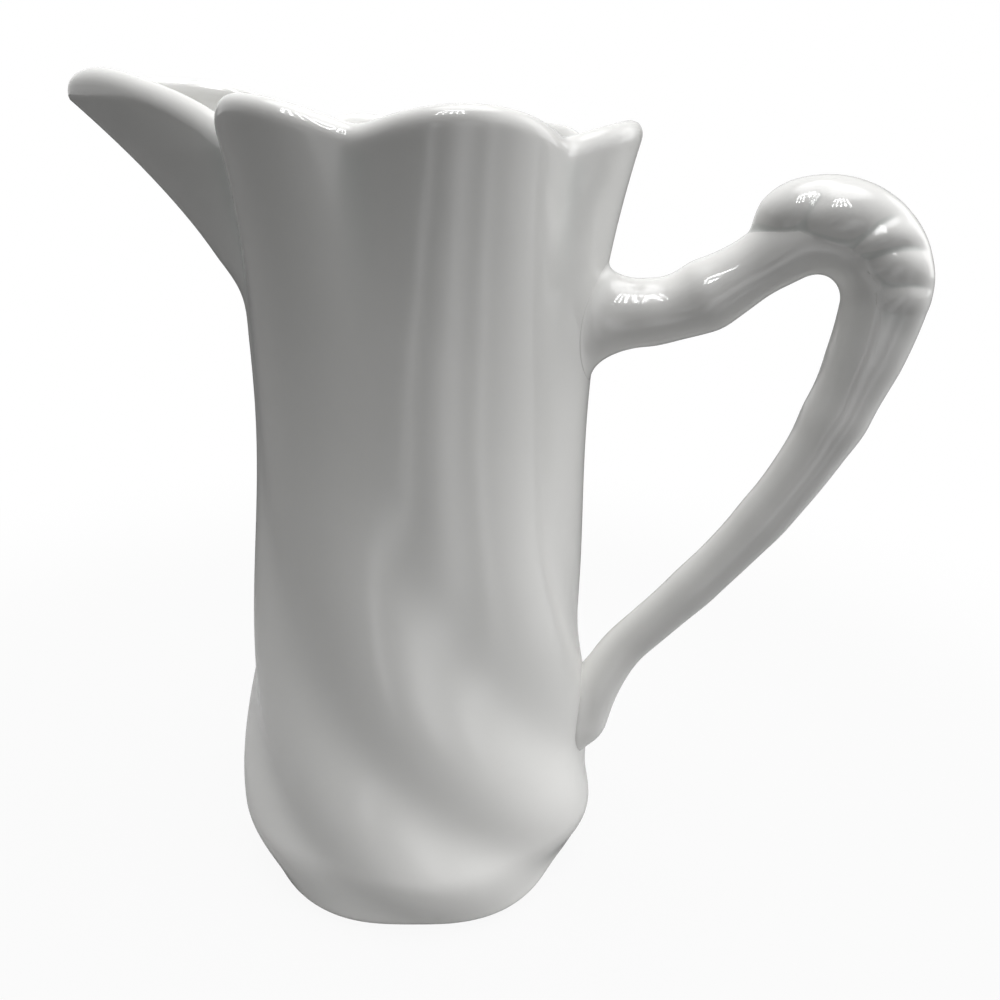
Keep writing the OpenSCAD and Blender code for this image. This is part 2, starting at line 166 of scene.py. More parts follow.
class FormTree:
    """A geometry node tree with named sizes, whose result is one mesh with a material."""

    def __init__(self, name: str, sizes: dict[str, float]) -> None:
        """Make the tree and its inputs.

        Args:
            name: the tree's name.
            sizes: the value of each named size.
        """
        self.sizes = sizes
        self.tree = bpy.data.node_groups.new(name, "GeometryNodeTree")
        face = self.tree.interface
        face.new_socket("Geometry", in_out="INPUT", socket_type="NodeSocketGeometry")
        for label in sizes:
            face.new_socket(label, in_out="INPUT", socket_type="NodeSocketFloat")
        face.new_socket("Material", in_out="INPUT", socket_type="NodeSocketMaterial")
        face.new_socket("Geometry", in_out="OUTPUT", socket_type="NodeSocketGeometry")
        self.inputs = self.tree.nodes.new("NodeGroupInput").outputs

    def size(self, name: str) -> Field:
        """Give a named size."""
        return Field(self.tree, self.inputs[name])

    def attribute(self, name: str) -> Field:
        """Give a number that is stored on the mesh's points."""
        node = self.tree.nodes.new("GeometryNodeInputNamedAttribute")
        node.data_type = "FLOAT"
        node.inputs["Name"].default_value = name
        return Field(self.tree, node.outputs["Attribute"])

    def add(self, kind: str, **feeds: "Field | Socket | float | tuple") -> bpy.types.Node:
        """Add a node.

        Args:
            kind: the node's type.
            feeds: its inputs by name, with underscores for spaces.

        Returns:
            The node.
        """
        node = self.tree.nodes.new(kind)
        for label, value in feeds.items():
            slot = node.inputs[label.replace("_", " ")]
            if isinstance(value, Field):
                value = value.socket
            if isinstance(value, Socket):
                self.tree.links.new(value, slot)
            else:
                slot.default_value = value
        return node

    def finish(self, geometry: Socket) -> None:
        """End the tree: smooth faces, no instances left, and the material."""
        smooth = self.add("GeometryNodeSetShadeSmooth", Geometry=geometry)
        real = self.add("GeometryNodeRealizeInstances", Geometry=smooth.outputs[0])
        dressed = self.add("GeometryNodeSetMaterial", Geometry=real.outputs[0],
                           Material=self.inputs["Material"])
        end = self.tree.nodes.new("NodeGroupOutput")
        self.tree.links.new(dressed.outputs[0], end.inputs[0])

    def grow(self, seed: bpy.types.Mesh, material: bpy.types.Material) -> bpy.types.Mesh:
        """Run the tree on a seed mesh.

        Args:
            seed: the mesh that the tree starts from.
            material: the finish of the result.

        Returns:
            The result as a plain mesh.
        """
        obj = bpy.data.objects.new(self.tree.name, seed)
        bpy.context.collection.objects.link(obj)
        modifier = obj.modifiers.new(self.tree.name, "NODES")
        modifier.node_group = self.tree
        for item in self.tree.interface.items_tree:
            if item.in_out == "INPUT" and item.name in self.sizes:
                modifier[item.identifier] = self.sizes[item.name]
            elif item.in_out == "INPUT" and item.name == "Material":
                modifier[item.identifier] = material
        graph = bpy.context.evaluated_depsgraph_get()
        mesh = bpy.data.meshes.new_from_object(obj.evaluated_get(graph))
        obj.modifiers.remove(modifier)
        bpy.data.objects.remove(obj)
        return mesh


def mesh_points(mesh: bpy.types.Mesh) -> np.ndarray:
    """Give a mesh's points in millimetres, one row each."""
    flat = np.empty(len(mesh.vertices) * 3)
    mesh.vertices.foreach_get("co", flat)
    return flat.reshape(-1, 3) / MM


@dataclass
class Skin:
    """Points and faces of one piece, gathered before they become a mesh."""

    points: list[np.ndarray] = field(default_factory=list)
    faces: list[tuple[int, ...]] = field(default_factory=list)
    count: int = 0

    def add_points(self, points: np.ndarray) -> int:
        """Add points, in millimetres, and give the number of the first."""
        first = self.count
        self.points.append(points.reshape(-1, 3))
        self.count += len(self.points[-1])
        return first

    def add_face(self, points: np.ndarray, turned: bool) -> None:
        """Add one hidden face with points of its own.

        Args:
            points: the face's corners in order.
            turned: whether its other side is the outer one.
        """
        first = self.add_points(points)
        numbers = range(first, self.count)
        self.faces.append(tuple(reversed(numbers)) if turned else tuple(numbers))

    def add_strip(self, near: np.ndarray, far: np.ndarray, turned: bool) -> None:
        """Add a hidden strip of faces with points of its own between two lines of points.

        Args:
            near: one line.
            far: the other, with as many points.
            turned: whether the strip's other side is the outer one.
        """
        for k in range(len(near) - 1):
            self.add_face(np.array([near[k], far[k], far[k + 1], near[k + 1]]), turned)

    def add_rings(self, rings: np.ndarray) -> None:
        """Add a tube through closed rings, rows by points, that turn clockwise round its run."""
        rows, n, _ = rings.shape
        first = self.add_points(rings)
        for i in range(rows - 1):
            for j in range(n):
                a = first + i * n
                k = (j + 1) % n
                self.faces.append((a + j, a + n + j, a + n + k, a + k))

    @staticmethod
    def of_mesh(mesh: bpy.types.Mesh) -> "Skin":
        """Start from the points and faces of a mesh."""
        skin = Skin()
        skin.add_points(mesh_points(mesh))
        skin.faces = [tuple(p.vertices) for p in mesh.polygons]
        return skin

    def mesh(self, name: str) -> bpy.types.Mesh:
        """Make the mesh, in metres and with smooth faces."""
        mesh = bpy.data.meshes.new(name)
        mesh.from_pydata((np.concatenate(self.points) * MM).tolist(), [], self.faces)
        mesh.polygons.foreach_set("use_smooth", [True] * len(mesh.polygons))
        mesh.update()
        return mesh


@dataclass
class Piece:
    """A finished piece: its object, and how many of its first points lie on the skin that shows."""

    obj: bpy.types.Object
    shown: int

    @staticmethod
    def place(name: str, mesh: bpy.types.Mesh, shown: int | None = None) -> "Piece":
        """Put a mesh in the scene as an object at the origin."""
        obj = bpy.data.objects.new(name, mesh)
        bpy.context.collection.objects.link(obj)
        return Piece(obj, len(mesh.vertices) if shown is None else shown)

    @staticmethod
    def tube(name: str, rings: np.ndarray) -> "Piece":
        """Put a tube in the scene, with hidden faces that close its two ends.

        Args:
            name: the piece's name.
            rings: its closed rings, rows by points.

        Returns:
            The piece.
        """
        skin = Skin()
        skin.add_rings(rings)
        shown = skin.count
        skin.add_face(rings[0], False)
        skin.add_face(rings[-1], True)
        return Piece.place(name, skin.mesh(name), shown)

    def dress(self, material: bpy.types.Material) -> None:
        """Give the piece its one material and note its hollows, for gathered glaze and painted shade."""
        self.obj.data.materials.clear()
        self.obj.data.materials.append(material)
        note_hollows(self.obj.data)

    def join(self, node: str, slot: Slot) -> None:
        """Let the piece stand for a CAD node.

        Args:
            node: the node's name.
            slot: the record's material slot; not used.
        """
        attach(self.obj, "root")
        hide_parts(node)
        self.obj.data.calc_loop_triangles()
        LOG.info("%s: %d triangles", self.obj.name, len(self.obj.data.loop_triangles))


def note_hollows(mesh: bpy.types.Mesh, rounds: int = 12, full: float = 90.0) -> None:
    """Store on each point how hollow the skin is there, for the glaze that gathers in it and the shade
    painted there.

    Args:
        mesh: the piece's mesh.
        rounds: how many times the measure is spread to its neighbours.
        full: the curvature, per metre, that counts as fully hollow.
    """
    points = mesh_points(mesh) * MM
    edges = np.empty(len(mesh.edges) * 2, dtype=np.int32)
    mesh.edges.foreach_get("vertices", edges)
    a, b = edges.reshape(-1, 2).T
    normals = np.empty(len(points) * 3, dtype=np.float32)
    mesh.vertex_normals.foreach_get("vector", normals)
    normals = normals.reshape(-1, 3)
    degree = np.maximum(np.bincount(a, minlength=len(points)) + np.bincount(b, minlength=len(points)), 1)

    def around(values: np.ndarray) -> np.ndarray:
        """Average each point's neighbours."""
        near = np.bincount(a, values[b], len(points)) + np.bincount(b, values[a], len(points))
        return near / degree

    length = np.sum((points[a] - points[b]) ** 2, axis=1)
    spread = (np.bincount(a, length, len(points)) + np.bincount(b, length, len(points))) / degree
    middle = np.stack([around(points[:, k]) for k in range(3)], axis=1)
    # Four times the sag over the squared edge is the sum of the two curvatures
    hollow = np.sum((middle - points) * normals, axis=1) * 4.0 / np.maximum(spread, 1e-9)
    for _ in range(rounds):
        hollow = 0.5 * hollow + 0.5 * around(hollow)
    layer = mesh.attributes.new("hollow", "FLOAT", "POINT")
    layer.data.foreach_set("value", np.clip(hollow / full, -1.0, 1.0).astype(np.float32))


def weld_shading(pieces: list[Piece]) -> None:
    """Shade pieces that meet along a line as one skin: points that coincide share a normal.

    Args:
        pieces: the pieces that meet.
    """
    shared: dict[tuple[int, ...], Vector] = {}
    keys = []
    for piece in pieces:
        mesh = piece.obj.data
        spots = [tuple(round(c * MICRONS) for c in v.co) for v in mesh.vertices[:piece.shown]]
        keys.append(spots)
        for spot, normal in zip(spots, mesh.vertex_normals):
            shared[spot] = shared.get(spot, Vector()) + normal.vector
    for piece, spots in zip(pieces, keys):
        mesh = piece.obj.data
        normals = [n.vector.copy() for n in mesh.vertex_normals]
        for k, spot in enumerate(spots):
            normals[k] = shared[spot].normalized()
        mesh.normals_split_custom_set_from_vertices(normals)


class Row(NamedTuple):
    """One ring of the vessel's skin: its height, its depth under the outer skin, its share of the radius."""

    height: float
    inset: float
    span: float


@dataclass
class Vessel:
    """The fluted body and its beak spout, which share one skin from the underside to the inner floor."""

    # Outline
    rim_z: float = 220.0
    rim_r: float = 55.3
    rim_flare: float = 0.21
    waist_r: float = 46.8
    waist_z: float = 135.0
    heel_r: float = 55.8
    heel_z: float = 21.0
    heel_slope: float = -0.13
    base_r: float = 52.5
    base_slope: float = 0.0
    base_edge: float = 2.2
    foot_h: float = 1.5
    kick_up: float = 1.2
    kick_span: float = 0.7
    wall: float = 4.2
    lip_w: float = 6.0
    lip_crest: float = 0.7
    lip_round: float = 4.8
    lip_h: float = 14.0
    floor_t: float = 5.0
    floor_round: float = 9.0

    # Flutes
    lobes: int = 6
    rim_groove: float = 7.8
    waist_groove: float = 1.6
    base_groove: float = 2.3
    groove_mean: float = 0.6
    groove_fade: float = 2.5
    rim_soft: float = 0.22
    body_soft: float = 0.75
    rim_dip: float = 5.0
    rim_rise: float = 2.0
    twist_z: float = 145.0
    twist_turn: float = 134.0
    twist_ease: float = 1.8

    # Marks of the hand: the rim leans to one side, two of its notches sit off, and the base is uneven
    rim_lean: float = 1.0
    lean_from: float = 160.0
    notch_sway: float = 4.0
    base_sway: float = 1.3
    sway_h: float = 32.0
    sway_heading: float = -74.0

    # Spout
    spout_reach: float = 100.0
    spout_depth: float = 63.0
    spout_rise: float = 8.2
    spout_dip: float = 4.2
    spout_nose: float = 3.7
    root_span: float = 0.5
    keel_soft: float = 0.2
    keel_ease: float = 1.55
    tip_round: float = 3.0
    lip_peak: float = 0.28
    lip_fall: Span = (1.75, 6.0)
    lip_lean: float = 1.6
    spout_lip: float = 5.2
    seam_fill: float = 2.7
    seam_dip: float = 3.2
    fill_span: float = 24.0
    fill_fade: float = 5.0
    blend_h: float = 24.0

    # Fineness of the skin
    lobe_columns: int = 44
    under_rows: int = 12
    edge_rows: int = 6
    low_rows: int = 128
    high_rows: int = 60
    lip_rows: int = 14
    inner_rows: int = 56
    corner_rows: int = 8
    floor_rows: int = 10

    body: Piece = field(init=False)
    spout: Piece = field(init=False)

    @property
    def columns(self) -> int:
        """Count the columns round the skin."""
        return self.lobes * self.lobe_columns

    @property
    def spout_z(self) -> float:
        """Give the height of the spout's root."""
        return self.rim_z - self.spout_depth

    @property
    def top_z(self) -> float:
        """Give the height of the top row below the rounded lip."""
        return self.rim_z - self.lip_round

    @property
    def root_row(self) -> int:
        """Give the row of the spout's root outside."""
        return self.under_rows + self.edge_rows + self.low_rows - 2

    @property
    def inner_row(self) -> int:
        """Give the row of the spout's root inside."""
        return self.root_row + 2 * self.high_rows + self.lip_rows

    @property
    def seams(self) -> tuple[int, int]:
        """Give the columns of the spout's two seams."""
        half = self.lobe_columns // 2
        return self.columns // 2 - half, self.columns // 2 + half

    def inner_depth(self, z: float) -> float:
        """Give the wall's thickness at a height: it grows towards the lip."""
        return lerp(self.wall, self.lip_w, float(ease((z - self.rim_z) / self.lip_h + 1)))

    def rows(self) -> list[Row]:
        """List the rings: underside, base's edge, outside, lip, inside, floor."""
        inner_floor = self.foot_h + self.floor_t
        low_z = self.foot_h + self.base_edge
        turn_z = inner_floor + self.floor_round
        made = []
        for k in range(1, self.under_rows + 1):
            s = k / self.under_rows
            dome = self.kick_up * max(0.0, 1 - (s / self.kick_span) ** 4)
            made.append(Row(self.foot_h + dome, self.base_edge, s))
        for k in range(1, self.edge_rows):
            a = math.pi / 2 * k / self.edge_rows
            made.append(Row(low_z - self.base_edge * math.cos(a), self.base_edge * (1 - math.sin(a)), 1.0))
        made += [Row(z, 0.0, 1.0) for z in np.linspace(low_z, self.spout_z, self.low_rows)]
        beside = np.linspace(self.spout_z, self.top_z, self.high_rows + 1)
        made += [Row(z, 0.0, 1.0) for z in beside[1:]]
        for k in range(1, self.lip_rows):
            a = math.pi * k / self.lip_rows
            outside = self.lip_crest * (1 - math.cos(a))
            inside = 1 - (1 - self.lip_crest) * (1 + math.cos(a))
            share = outside if a < math.pi / 2 else inside
            made.append(Row(self.top_z + self.lip_round * math.sin(a), self.lip_w * share, 1.0))
        made += [Row(z, self.inner_depth(z), 1.0) for z in beside[::-1]]
        made += [Row(z, self.wall, 1.0) for z in np.linspace(self.spout_z, turn_z, self.inner_rows)[1:]]
        for k in range(1, self.corner_rows + 1):
            a = math.pi / 2 * k / self.corner_rows
            made.append(Row(turn_z - self.floor_round * math.sin(a),
                            self.wall + self.floor_round * (1 - math.cos(a)), 1.0))
        for k in range(1, self.floor_rows):
            made.append(Row(inner_floor, self.wall + self.floor_round, 1 - k / self.floor_rows))
        return made

    def seam_angle(self, z: np.ndarray) -> np.ndarray:
        """Give the angle from the spout's keel to its seam, which narrows towards the root.

        Args:
            z: heights.

        Returns:
            Angles in degrees.
        """
        above = np.clip((self.spout_z + self.blend_h - z) / self.blend_h, 0, 1)
        low = lerp(1.0, self.root_span, ease(1 - (self.spout_z - z) / self.blend_h))
        return 180 / self.lobes * np.where(z < self.spout_z, low, lerp(self.root_span, 1.0, 1 - above**2))

    def column_angles(self, z: np.ndarray) -> np.ndarray:
        """Give each column's angle before the twist; those beside the spout are drawn in at its root.

        Args:
            z: heights of the rows.

        Returns:
            Angles in degrees from the handle, rows by columns.
        """
        half = 180 / self.lobes
        a = np.arange(self.columns) * 360 / self.columns - 180
        off = np.abs(a)
        pull = np.where(off < half, off / half, np.clip(1 - (off - half) / (2 * half), 0, 1))
        drawn = half - self.seam_angle(z)
        return 180 + a - np.sign(a) * pull * drawn[:, None]

    def net(self, m: int, whole: bool) -> list[tuple[int, ...]]:
        """List the skin's faces, which end in a pole under the base and one on the inner floor.

        Args:
            m: how many rows there are.
            whole: whether the spout's patch is among the faces.

        Returns:
            The faces' corners. The poles are numbered after the rows' points.
        """
        n = self.columns
        seam_a, seam_b = self.seams
        faces = []
        for i in range(m - 1):
            for j in range(n):
                if whole or not (self.root_row <= i < self.inner_row and seam_a <= j < seam_b):
                    k = (j + 1) % n
                    faces.append((i * n + j, i * n + k, (i + 1) * n + k, (i + 1) * n + j))
        faces += [(m * n, (j + 1) % n, j) for j in range(n)]
        faces += [((m - 1) * n + j, (m - 1) * n + (j + 1) % n, m * n + 1) for j in range(n)]
        return faces

    def seed(self, rows: list[Row]) -> bpy.types.Mesh:
        """Make the skin's net, whose points carry the rows' values and no place yet.

        Args:
            rows: the rings.

        Returns:
            The net.
        """
        n = self.columns
        mesh = bpy.data.meshes.new("fluted_skin")
        mesh.from_pydata(np.zeros((len(rows) * n + 2, 3)).tolist(), [], self.net(len(rows), True))
        heights = np.array([row.height for row in rows])
        values = {
            "height": np.append(np.repeat(heights, n), [heights[0], heights[-1]]) * MM,
            "inset": np.append(np.repeat([row.inset for row in rows], n), [0, 0]) * MM,
            "span": np.append(np.repeat([row.span for row in rows], n), [0, 0]),
            "angle": np.append(np.radians(self.column_angles(heights)).ravel(), [0, 0]),
        }
        for name, numbers in values.items():
            layer = mesh.attributes.new(name, "FLOAT", "POINT")
            layer.data.foreach_set("value", numbers.astype(np.float32))
        return mesh

    def flute_tree(self) -> FormTree:
        """Build the tree that places the skin: outline, lobes, twist and the rim's dips."""
        form = FormTree("fluted_skin", {
            "Rim height": self.rim_z * MM, "Rim radius": self.rim_r * MM, "Rim flare": self.rim_flare,
            "Waist height": self.waist_z * MM, "Waist radius": self.waist_r * MM,
            "Heel height": self.heel_z * MM, "Heel radius": self.heel_r * MM, "Heel slope": self.heel_slope,
            "Base height": self.foot_h * MM, "Base radius": self.base_r * MM, "Base slope": self.base_slope,
            "Lobes": self.lobes, "Rim groove": self.rim_groove * MM, "Waist groove": self.waist_groove * MM,
            "Base groove": self.base_groove * MM, "Groove mean": self.groove_mean,
            "Groove fade": self.groove_fade, "Rim softness": self.rim_soft, "Body softness": self.body_soft,
            "Rim dip": self.rim_dip * MM, "Rim rise": self.rim_rise * MM, "Rim depth": self.spout_depth * MM,
            "Twist height": self.twist_z * MM, "Twist turn": math.radians(self.twist_turn),
            "Twist ease": self.twist_ease, "Notch sway": math.radians(self.notch_sway),
            "Seam fill": self.seam_fill * MM, "Fill span": math.radians(self.fill_span),
            "Fill fade": self.fill_fade, "Seam dip": self.seam_dip * MM,
            "Base sway": self.base_sway * MM, "Sway height": self.sway_h * MM,
            "Sway heading": math.radians(self.sway_heading),
        })
        size = form.size
        angle, height = form.attribute("angle"), form.attribute("height")
        rim_z, waist_z, heel_z, base_z = (size(f"{k} height") for k in ("Rim", "Waist", "Heel", "Base"))

        def lobe(soft: Field) -> Field:
            """Give 0 in a groove and 1 on a lobe's crown."""
            wave = (angle * (size("Lobes") * 0.5) - math.pi / 2).math("SINE")
            soft2 = soft * soft
            return ((wave * wave + soft2).math("SQRT") - soft) / ((soft2 + 1.0).math("SQRT") - soft)

        def curve(z0: Field, r0: Field, m0: "Field | float", z1: Field, r1: Field, m1: "Field | float",
                  z: Field) -> Field:
            """Give the cubic from one radius and slope to the next."""
            run = z1 - z0
            t = (z - z0) / run
            t2 = t * t
            t3 = t2 * t
            return (r0 * (2.0 * t3 - 3.0 * t2 + 1.0) + run * m0 * (t3 - 2.0 * t2 + t)
                    + r1 * (3.0 * t2 - 2.0 * t3) + run * m1 * (t3 - t2))

        side = angle.math("WRAP", math.pi, -math.pi)
        off = (side.math("ABSOLUTE") - math.pi * (1 - 1 / self.lobes)) / size("Fill span")
        near_seam = (1.0 - off * off).math("MAXIMUM", 0.0) ** 2.0
        top = (height - rim_z) / size("Rim depth") + 1.0
        dip = size("Rim dip") * (1.0 - lobe(size("Rim softness"))) + size("Seam dip") * near_seam
        dip = dip + size("Rim rise") * 0.5 * angle.math("COSINE")
        z = height - top.unit() * dip

        base = curve(base_z, size("Base radius"), size("Base slope"),
                     heel_z, size("Heel radius"), size("Heel slope"), z)
        flank = curve(heel_z, size("Heel radius"), size("Heel slope"),
                      waist_z, size("Waist radius"), 0.0, z)
        neck = curve(waist_z, size("Waist radius"), 0.0, rim_z, size("Rim radius"), size("Rim flare"), z)
        outline = lerp(lerp(neck, flank, z.below(waist_z)), base, z.below(heel_z))

        share = ((z - waist_z) / (rim_z - waist_z)).unit()
        above = lerp(size("Waist groove"), size("Rim groove"), share ** size("Groove fade"))
        under = lerp(size("Waist groove"), size("Base groove"), ((waist_z - z) / waist_z).eased())
        groove = lerp(above, under, z.below(waist_z))
        soft = lerp(size("Body softness"), size("Rim softness"), share)
        flutes = groove * (lobe(soft) - size("Groove mean"))
        filled = flutes + size("Seam fill") * near_seam * share ** size("Fill fade")

        fall = ((size("Twist height") - z) / (size("Twist height") - base_z)).unit()
        turned = angle + size("Twist turn") * fall ** size("Twist ease")
        swell = (side.math("ABSOLUTE") * 1.5 - math.pi / 4).math("SINE").math("MAXIMUM", 0.0)
        turned = turned + size("Notch sway") * swell * side.math("SIGN") * share

        uneven = ((turned - size("Sway heading")) * (size("Lobes") * 0.5)).math("COSINE")
        swayed = filled + size("Base sway") * uneven * (1.0 - z / size("Sway height")).eased()
        radius = (outline + swayed - form.attribute("inset")) * form.attribute("span")
        place = form.add("ShaderNodeCombineXYZ", X=radius * turned.math("COSINE"),
                         Y=radius * turned.math("SINE"), Z=z)
        moved = form.add("GeometryNodeSetPosition", Geometry=form.inputs["Geometry"],
                         Position=place.outputs[0])
        form.finish(moved.outputs[0])
        return form

    def draw_spout(self, skin: np.ndarray, rows: list[Row]) -> None:
        """Pull the spout's lobe out into a beak, between its two seams.

        Args:
            skin: the skin's points, rows by columns, which are changed.
            rows: the rings.
        """
        first, last = self.root_row, self.inner_row
        half = self.lobe_columns // 2
        keel_j = self.columns // 2
        top_row = first + self.high_rows
        seam = skin[first:top_row + 1, keel_j - half]
        notch_z = skin[top_row:top_row + self.lip_rows, keel_j - half, 2].max()
        v = np.arange(half - 1, -half, -1) / half
        s = np.abs(v)
        tip_z = self.rim_z + self.spout_rise - self.spout_dip
        dip = self.spout_dip - np.where(v > 0, self.lip_lean, 0.0)
        crest = tip_z + dip
        inside = crest - dip * ((self.lip_peak - s) / self.lip_peak) ** 2
        past = np.maximum(s - self.lip_peak, 0) / (1 - self.lip_peak)
        outside = crest - (crest - notch_z) * past ** np.where(v > 0, self.lip_fall[1], self.lip_fall[0])
        lip = np.where(s < self.lip_peak, inside, outside)
        round_h = lerp(self.tip_round, self.lip_round, ease(s / self.lip_peak))
        soft = np.hypot(v, self.keel_soft)
        scale = math.hypot(1, self.keel_soft) - self.keel_soft
        flank, slope = (soft - self.keel_soft) / scale, v / soft / scale
        root_r = -skin[first, keel_j, 0]
        nose_z = tip_z - self.spout_nose
        for i in range(first + 1, last):
            on_lip = i < last - self.high_rows
            row_z = min(rows[i].height, self.top_z)
            rise = (row_z - self.spout_z) / (self.top_z - self.spout_z)
            z = lerp(self.spout_z, lip - round_h, rise)
            at = np.minimum(z, seam[-1, 2])
            seam_x = -np.interp(at, seam[:, 2], seam[:, 0])
            seam_y = np.interp(at, seam[:, 2], seam[:, 1])
            climb = np.clip((z - self.spout_z) / (nose_z - self.spout_z), 0, 1)
            keel = lerp(root_r, self.spout_reach, climb**self.keel_ease)
            run = np.stack([(keel - seam_x) * slope, seam_y], axis=1)
            inwards = np.stack([run[:, 1], -run[:, 0]], axis=1) / np.linalg.norm(run, axis=1)[:, None]
            radial = np.stack([seam_x, -seam_y * np.sign(v)], axis=1) / np.hypot(seam_x, seam_y)[:, None]
            way = lerp(inwards, radial, (v**4)[:, None])
            way /= np.linalg.norm(way, axis=1)[:, None]
            way *= self.spout_inset(rows[i].inset, on_lip, v)[:, None]
            beak = np.stack([-keel + (keel - seam_x) * flank, seam_y * v], axis=1) + way
            part = skin[i, keel_j - half + 1:keel_j + half]
            part[:, :2] = lerp(part[:, :2], beak, ease((z - self.spout_z) / self.blend_h)[:, None])
            part[:, 2] = z + (rows[i].height - row_z) * round_h / self.lip_round

    def spout_inset(self, inset: float, on_lip: bool, v: np.ndarray) -> np.ndarray:
        """Give a row's depth under the spout's outer skin, whose lip is thinner than the body's.

        Args:
            inset: the row's depth on the body.
            on_lip: whether the row lies outside or on the lip.
            v: places across the spout, from -1 to 1.

        Returns:
            Depths at those places.
        """
        lip = lerp(self.spout_lip, self.lip_w, v**4)
        if on_lip:
            return inset * lip / self.lip_w
        return lerp(self.wall, lip, (inset - self.wall) / (self.lip_w - self.wall))

    def settle(self, skin: np.ndarray) -> None:
        """Let the rim lean a little towards one side, as fired clay does."""
        high = ease((skin[..., 2] - self.lean_from) / (self.rim_z - self.lean_from))
        skin[..., 2] -= self.rim_lean * skin[..., 1] / self.rim_r * high

    def build(self, glaze: bpy.types.Material) -> None:
        """Make the body and the spout.

        Args:
            glaze: the finish of both.
        """
        rows = self.rows()
        points = mesh_points(self.flute_tree().grow(self.seed(rows), glaze))
        skin = points[:-2].reshape(len(rows), self.columns, 3)
        self.draw_spout(skin, rows)
        self.settle(skin)
        self.body = self.cut_body(skin, points[-2:])
        self.spout = self.cut_spout(skin)
        weld_shading([self.body, self.spout])
        for piece in (self.body, self.spout):
            piece.dress(glaze)

    def close_seam(self, part: Skin, skin: np.ndarray, turned: bool) -> None:
        """Close the cut between body and spout: two sides, their lips, and the root.

        Args:
            part: the piece to close.
            skin: the skin's points.
            turned: whether the faces look the spout's way.
        """
        first, last, high = self.root_row, self.inner_row, self.high_rows
        seam_a, seam_b = self.seams
        for column, flip in ((seam_a, turned), (seam_b, not turned)):
            outer = skin[first:first + high + 1, column]
            inner = skin[last - high:last + 1, column][::-1]
            part.add_strip(outer, inner, flip)
            part.add_face(skin[first + high:last - high + 1, column][::-1], flip)
        part.add_strip(skin[last, seam_a:seam_b + 1], skin[first, seam_a:seam_b + 1], turned)

    def cut_body(self, skin: np.ndarray, poles: np.ndarray) -> Piece:
        """Make the body from every face of the skin outside the spout.

        Args:
            skin: the skin's points.
            poles: the middle points of the underside and the inner floor.

        Returns:
            The body.
        """
        faces = self.net(len(skin), False)
        points = np.concatenate([skin.reshape(-1, 3), poles])
        used = np.unique(np.concatenate([np.array(f) for f in faces]))
        number = np.full(len(points), -1)
        number[used] = np.arange(len(used))
        part = Skin()
        part.add_points(points[used])
        part.faces = [tuple(int(number[c]) for c in f) for f in faces]
        shown = part.count
        self.close_seam(part, skin, False)
        return Piece.place("body_fluted", part.mesh("body_fluted"), shown)

    def cut_spout(self, skin: np.ndarray) -> Piece:
        """Make the spout from its own patch of the skin.

        Args:
            skin: the skin's points.

        Returns:
            The spout.
        """
        seam_a, seam_b = self.seams
        patch = skin[self.root_row:self.inner_row + 1, seam_a:seam_b + 1]
        m, n, _ = patch.shape
        part = Skin()
        part.add_points(patch)
        part.faces = [(i * n + j, i * n + j + 1, (i + 1) * n + j + 1, (i + 1) * n + j)
                      for i in range(m - 1) for j in range(n - 1)]
        shown = part.count
        self.close_seam(part, skin, True)
        return Piece.place("spout_beak", part.mesh("spout_beak"), shown)

    def join(self) -> None:
        """Let the pieces stand for their CAD nodes."""
        self.body.join("body", Slot.PORCELAIN)
        self.spout.join("spout", Slot.PORCELAIN)


@dataclass
class FootRing:
    """The dry ring under the body."""

    mean_r: float = 42.0
    width: float = 6.0
    height: float = 1.5
    sunk: float = 1.0
    edge: float = 0.5
    around: int = 192

    piece: Piece = field(init=False)

    def build(self, biscuit: bpy.types.Material) -> None:
        """Turn the ring: a rounded bar swept round a circle.

        Args:
            biscuit: the ring's finish.
        """
        tall = self.height + self.sunk
        form = FormTree("foot_ring", {
            "Mean radius": self.mean_r * MM, "Width": self.width * MM, "Height": tall * MM,
            "Edge": self.edge * MM, "Lift": tall / 2 * MM,
        })
        path = form.add("GeometryNodeCurvePrimitiveCircle", Resolution=self.around,
                        Radius=form.size("Mean radius"))
        bar = form.add("GeometryNodeCurvePrimitiveQuadrilateral", Width=form.size("Width"),
                       Height=form.size("Height"))
        soft = form.add("GeometryNodeFilletCurve", Curve=bar.outputs[0], Radius=form.size("Edge"))
        swept = form.add("GeometryNodeCurveToMesh", Curve=path.outputs[0], Profile_Curve=soft.outputs[0])
        lift = form.add("ShaderNodeCombineXYZ", Z=form.size("Lift"))
        moved = form.add("GeometryNodeSetPosition", Geometry=swept.outputs[0], Offset=lift.outputs[0])
        form.finish(moved.outputs[0])
        mesh = form.grow(bpy.data.meshes.new("foot_ring_seed"), biscuit)
        self.piece = Piece.place("foot_ring_dry", mesh)
        self.piece.dress(biscuit)

    def join(self) -> None:
        """Let the ring stand for its CAD node."""
        self.piece.join("foot_ring", Slot.BISCUIT)


class Swell(NamedTuple):
    """A knuckle or hollow along the branch: its place, its length and its share of the full height."""

    place: float
    length: float
    share: float


class Crease(NamedTuple):
    """A crease between two lobes of the leaf: its place on the leaf's middle, its lean per degree aside."""

    place: float
    lean: float


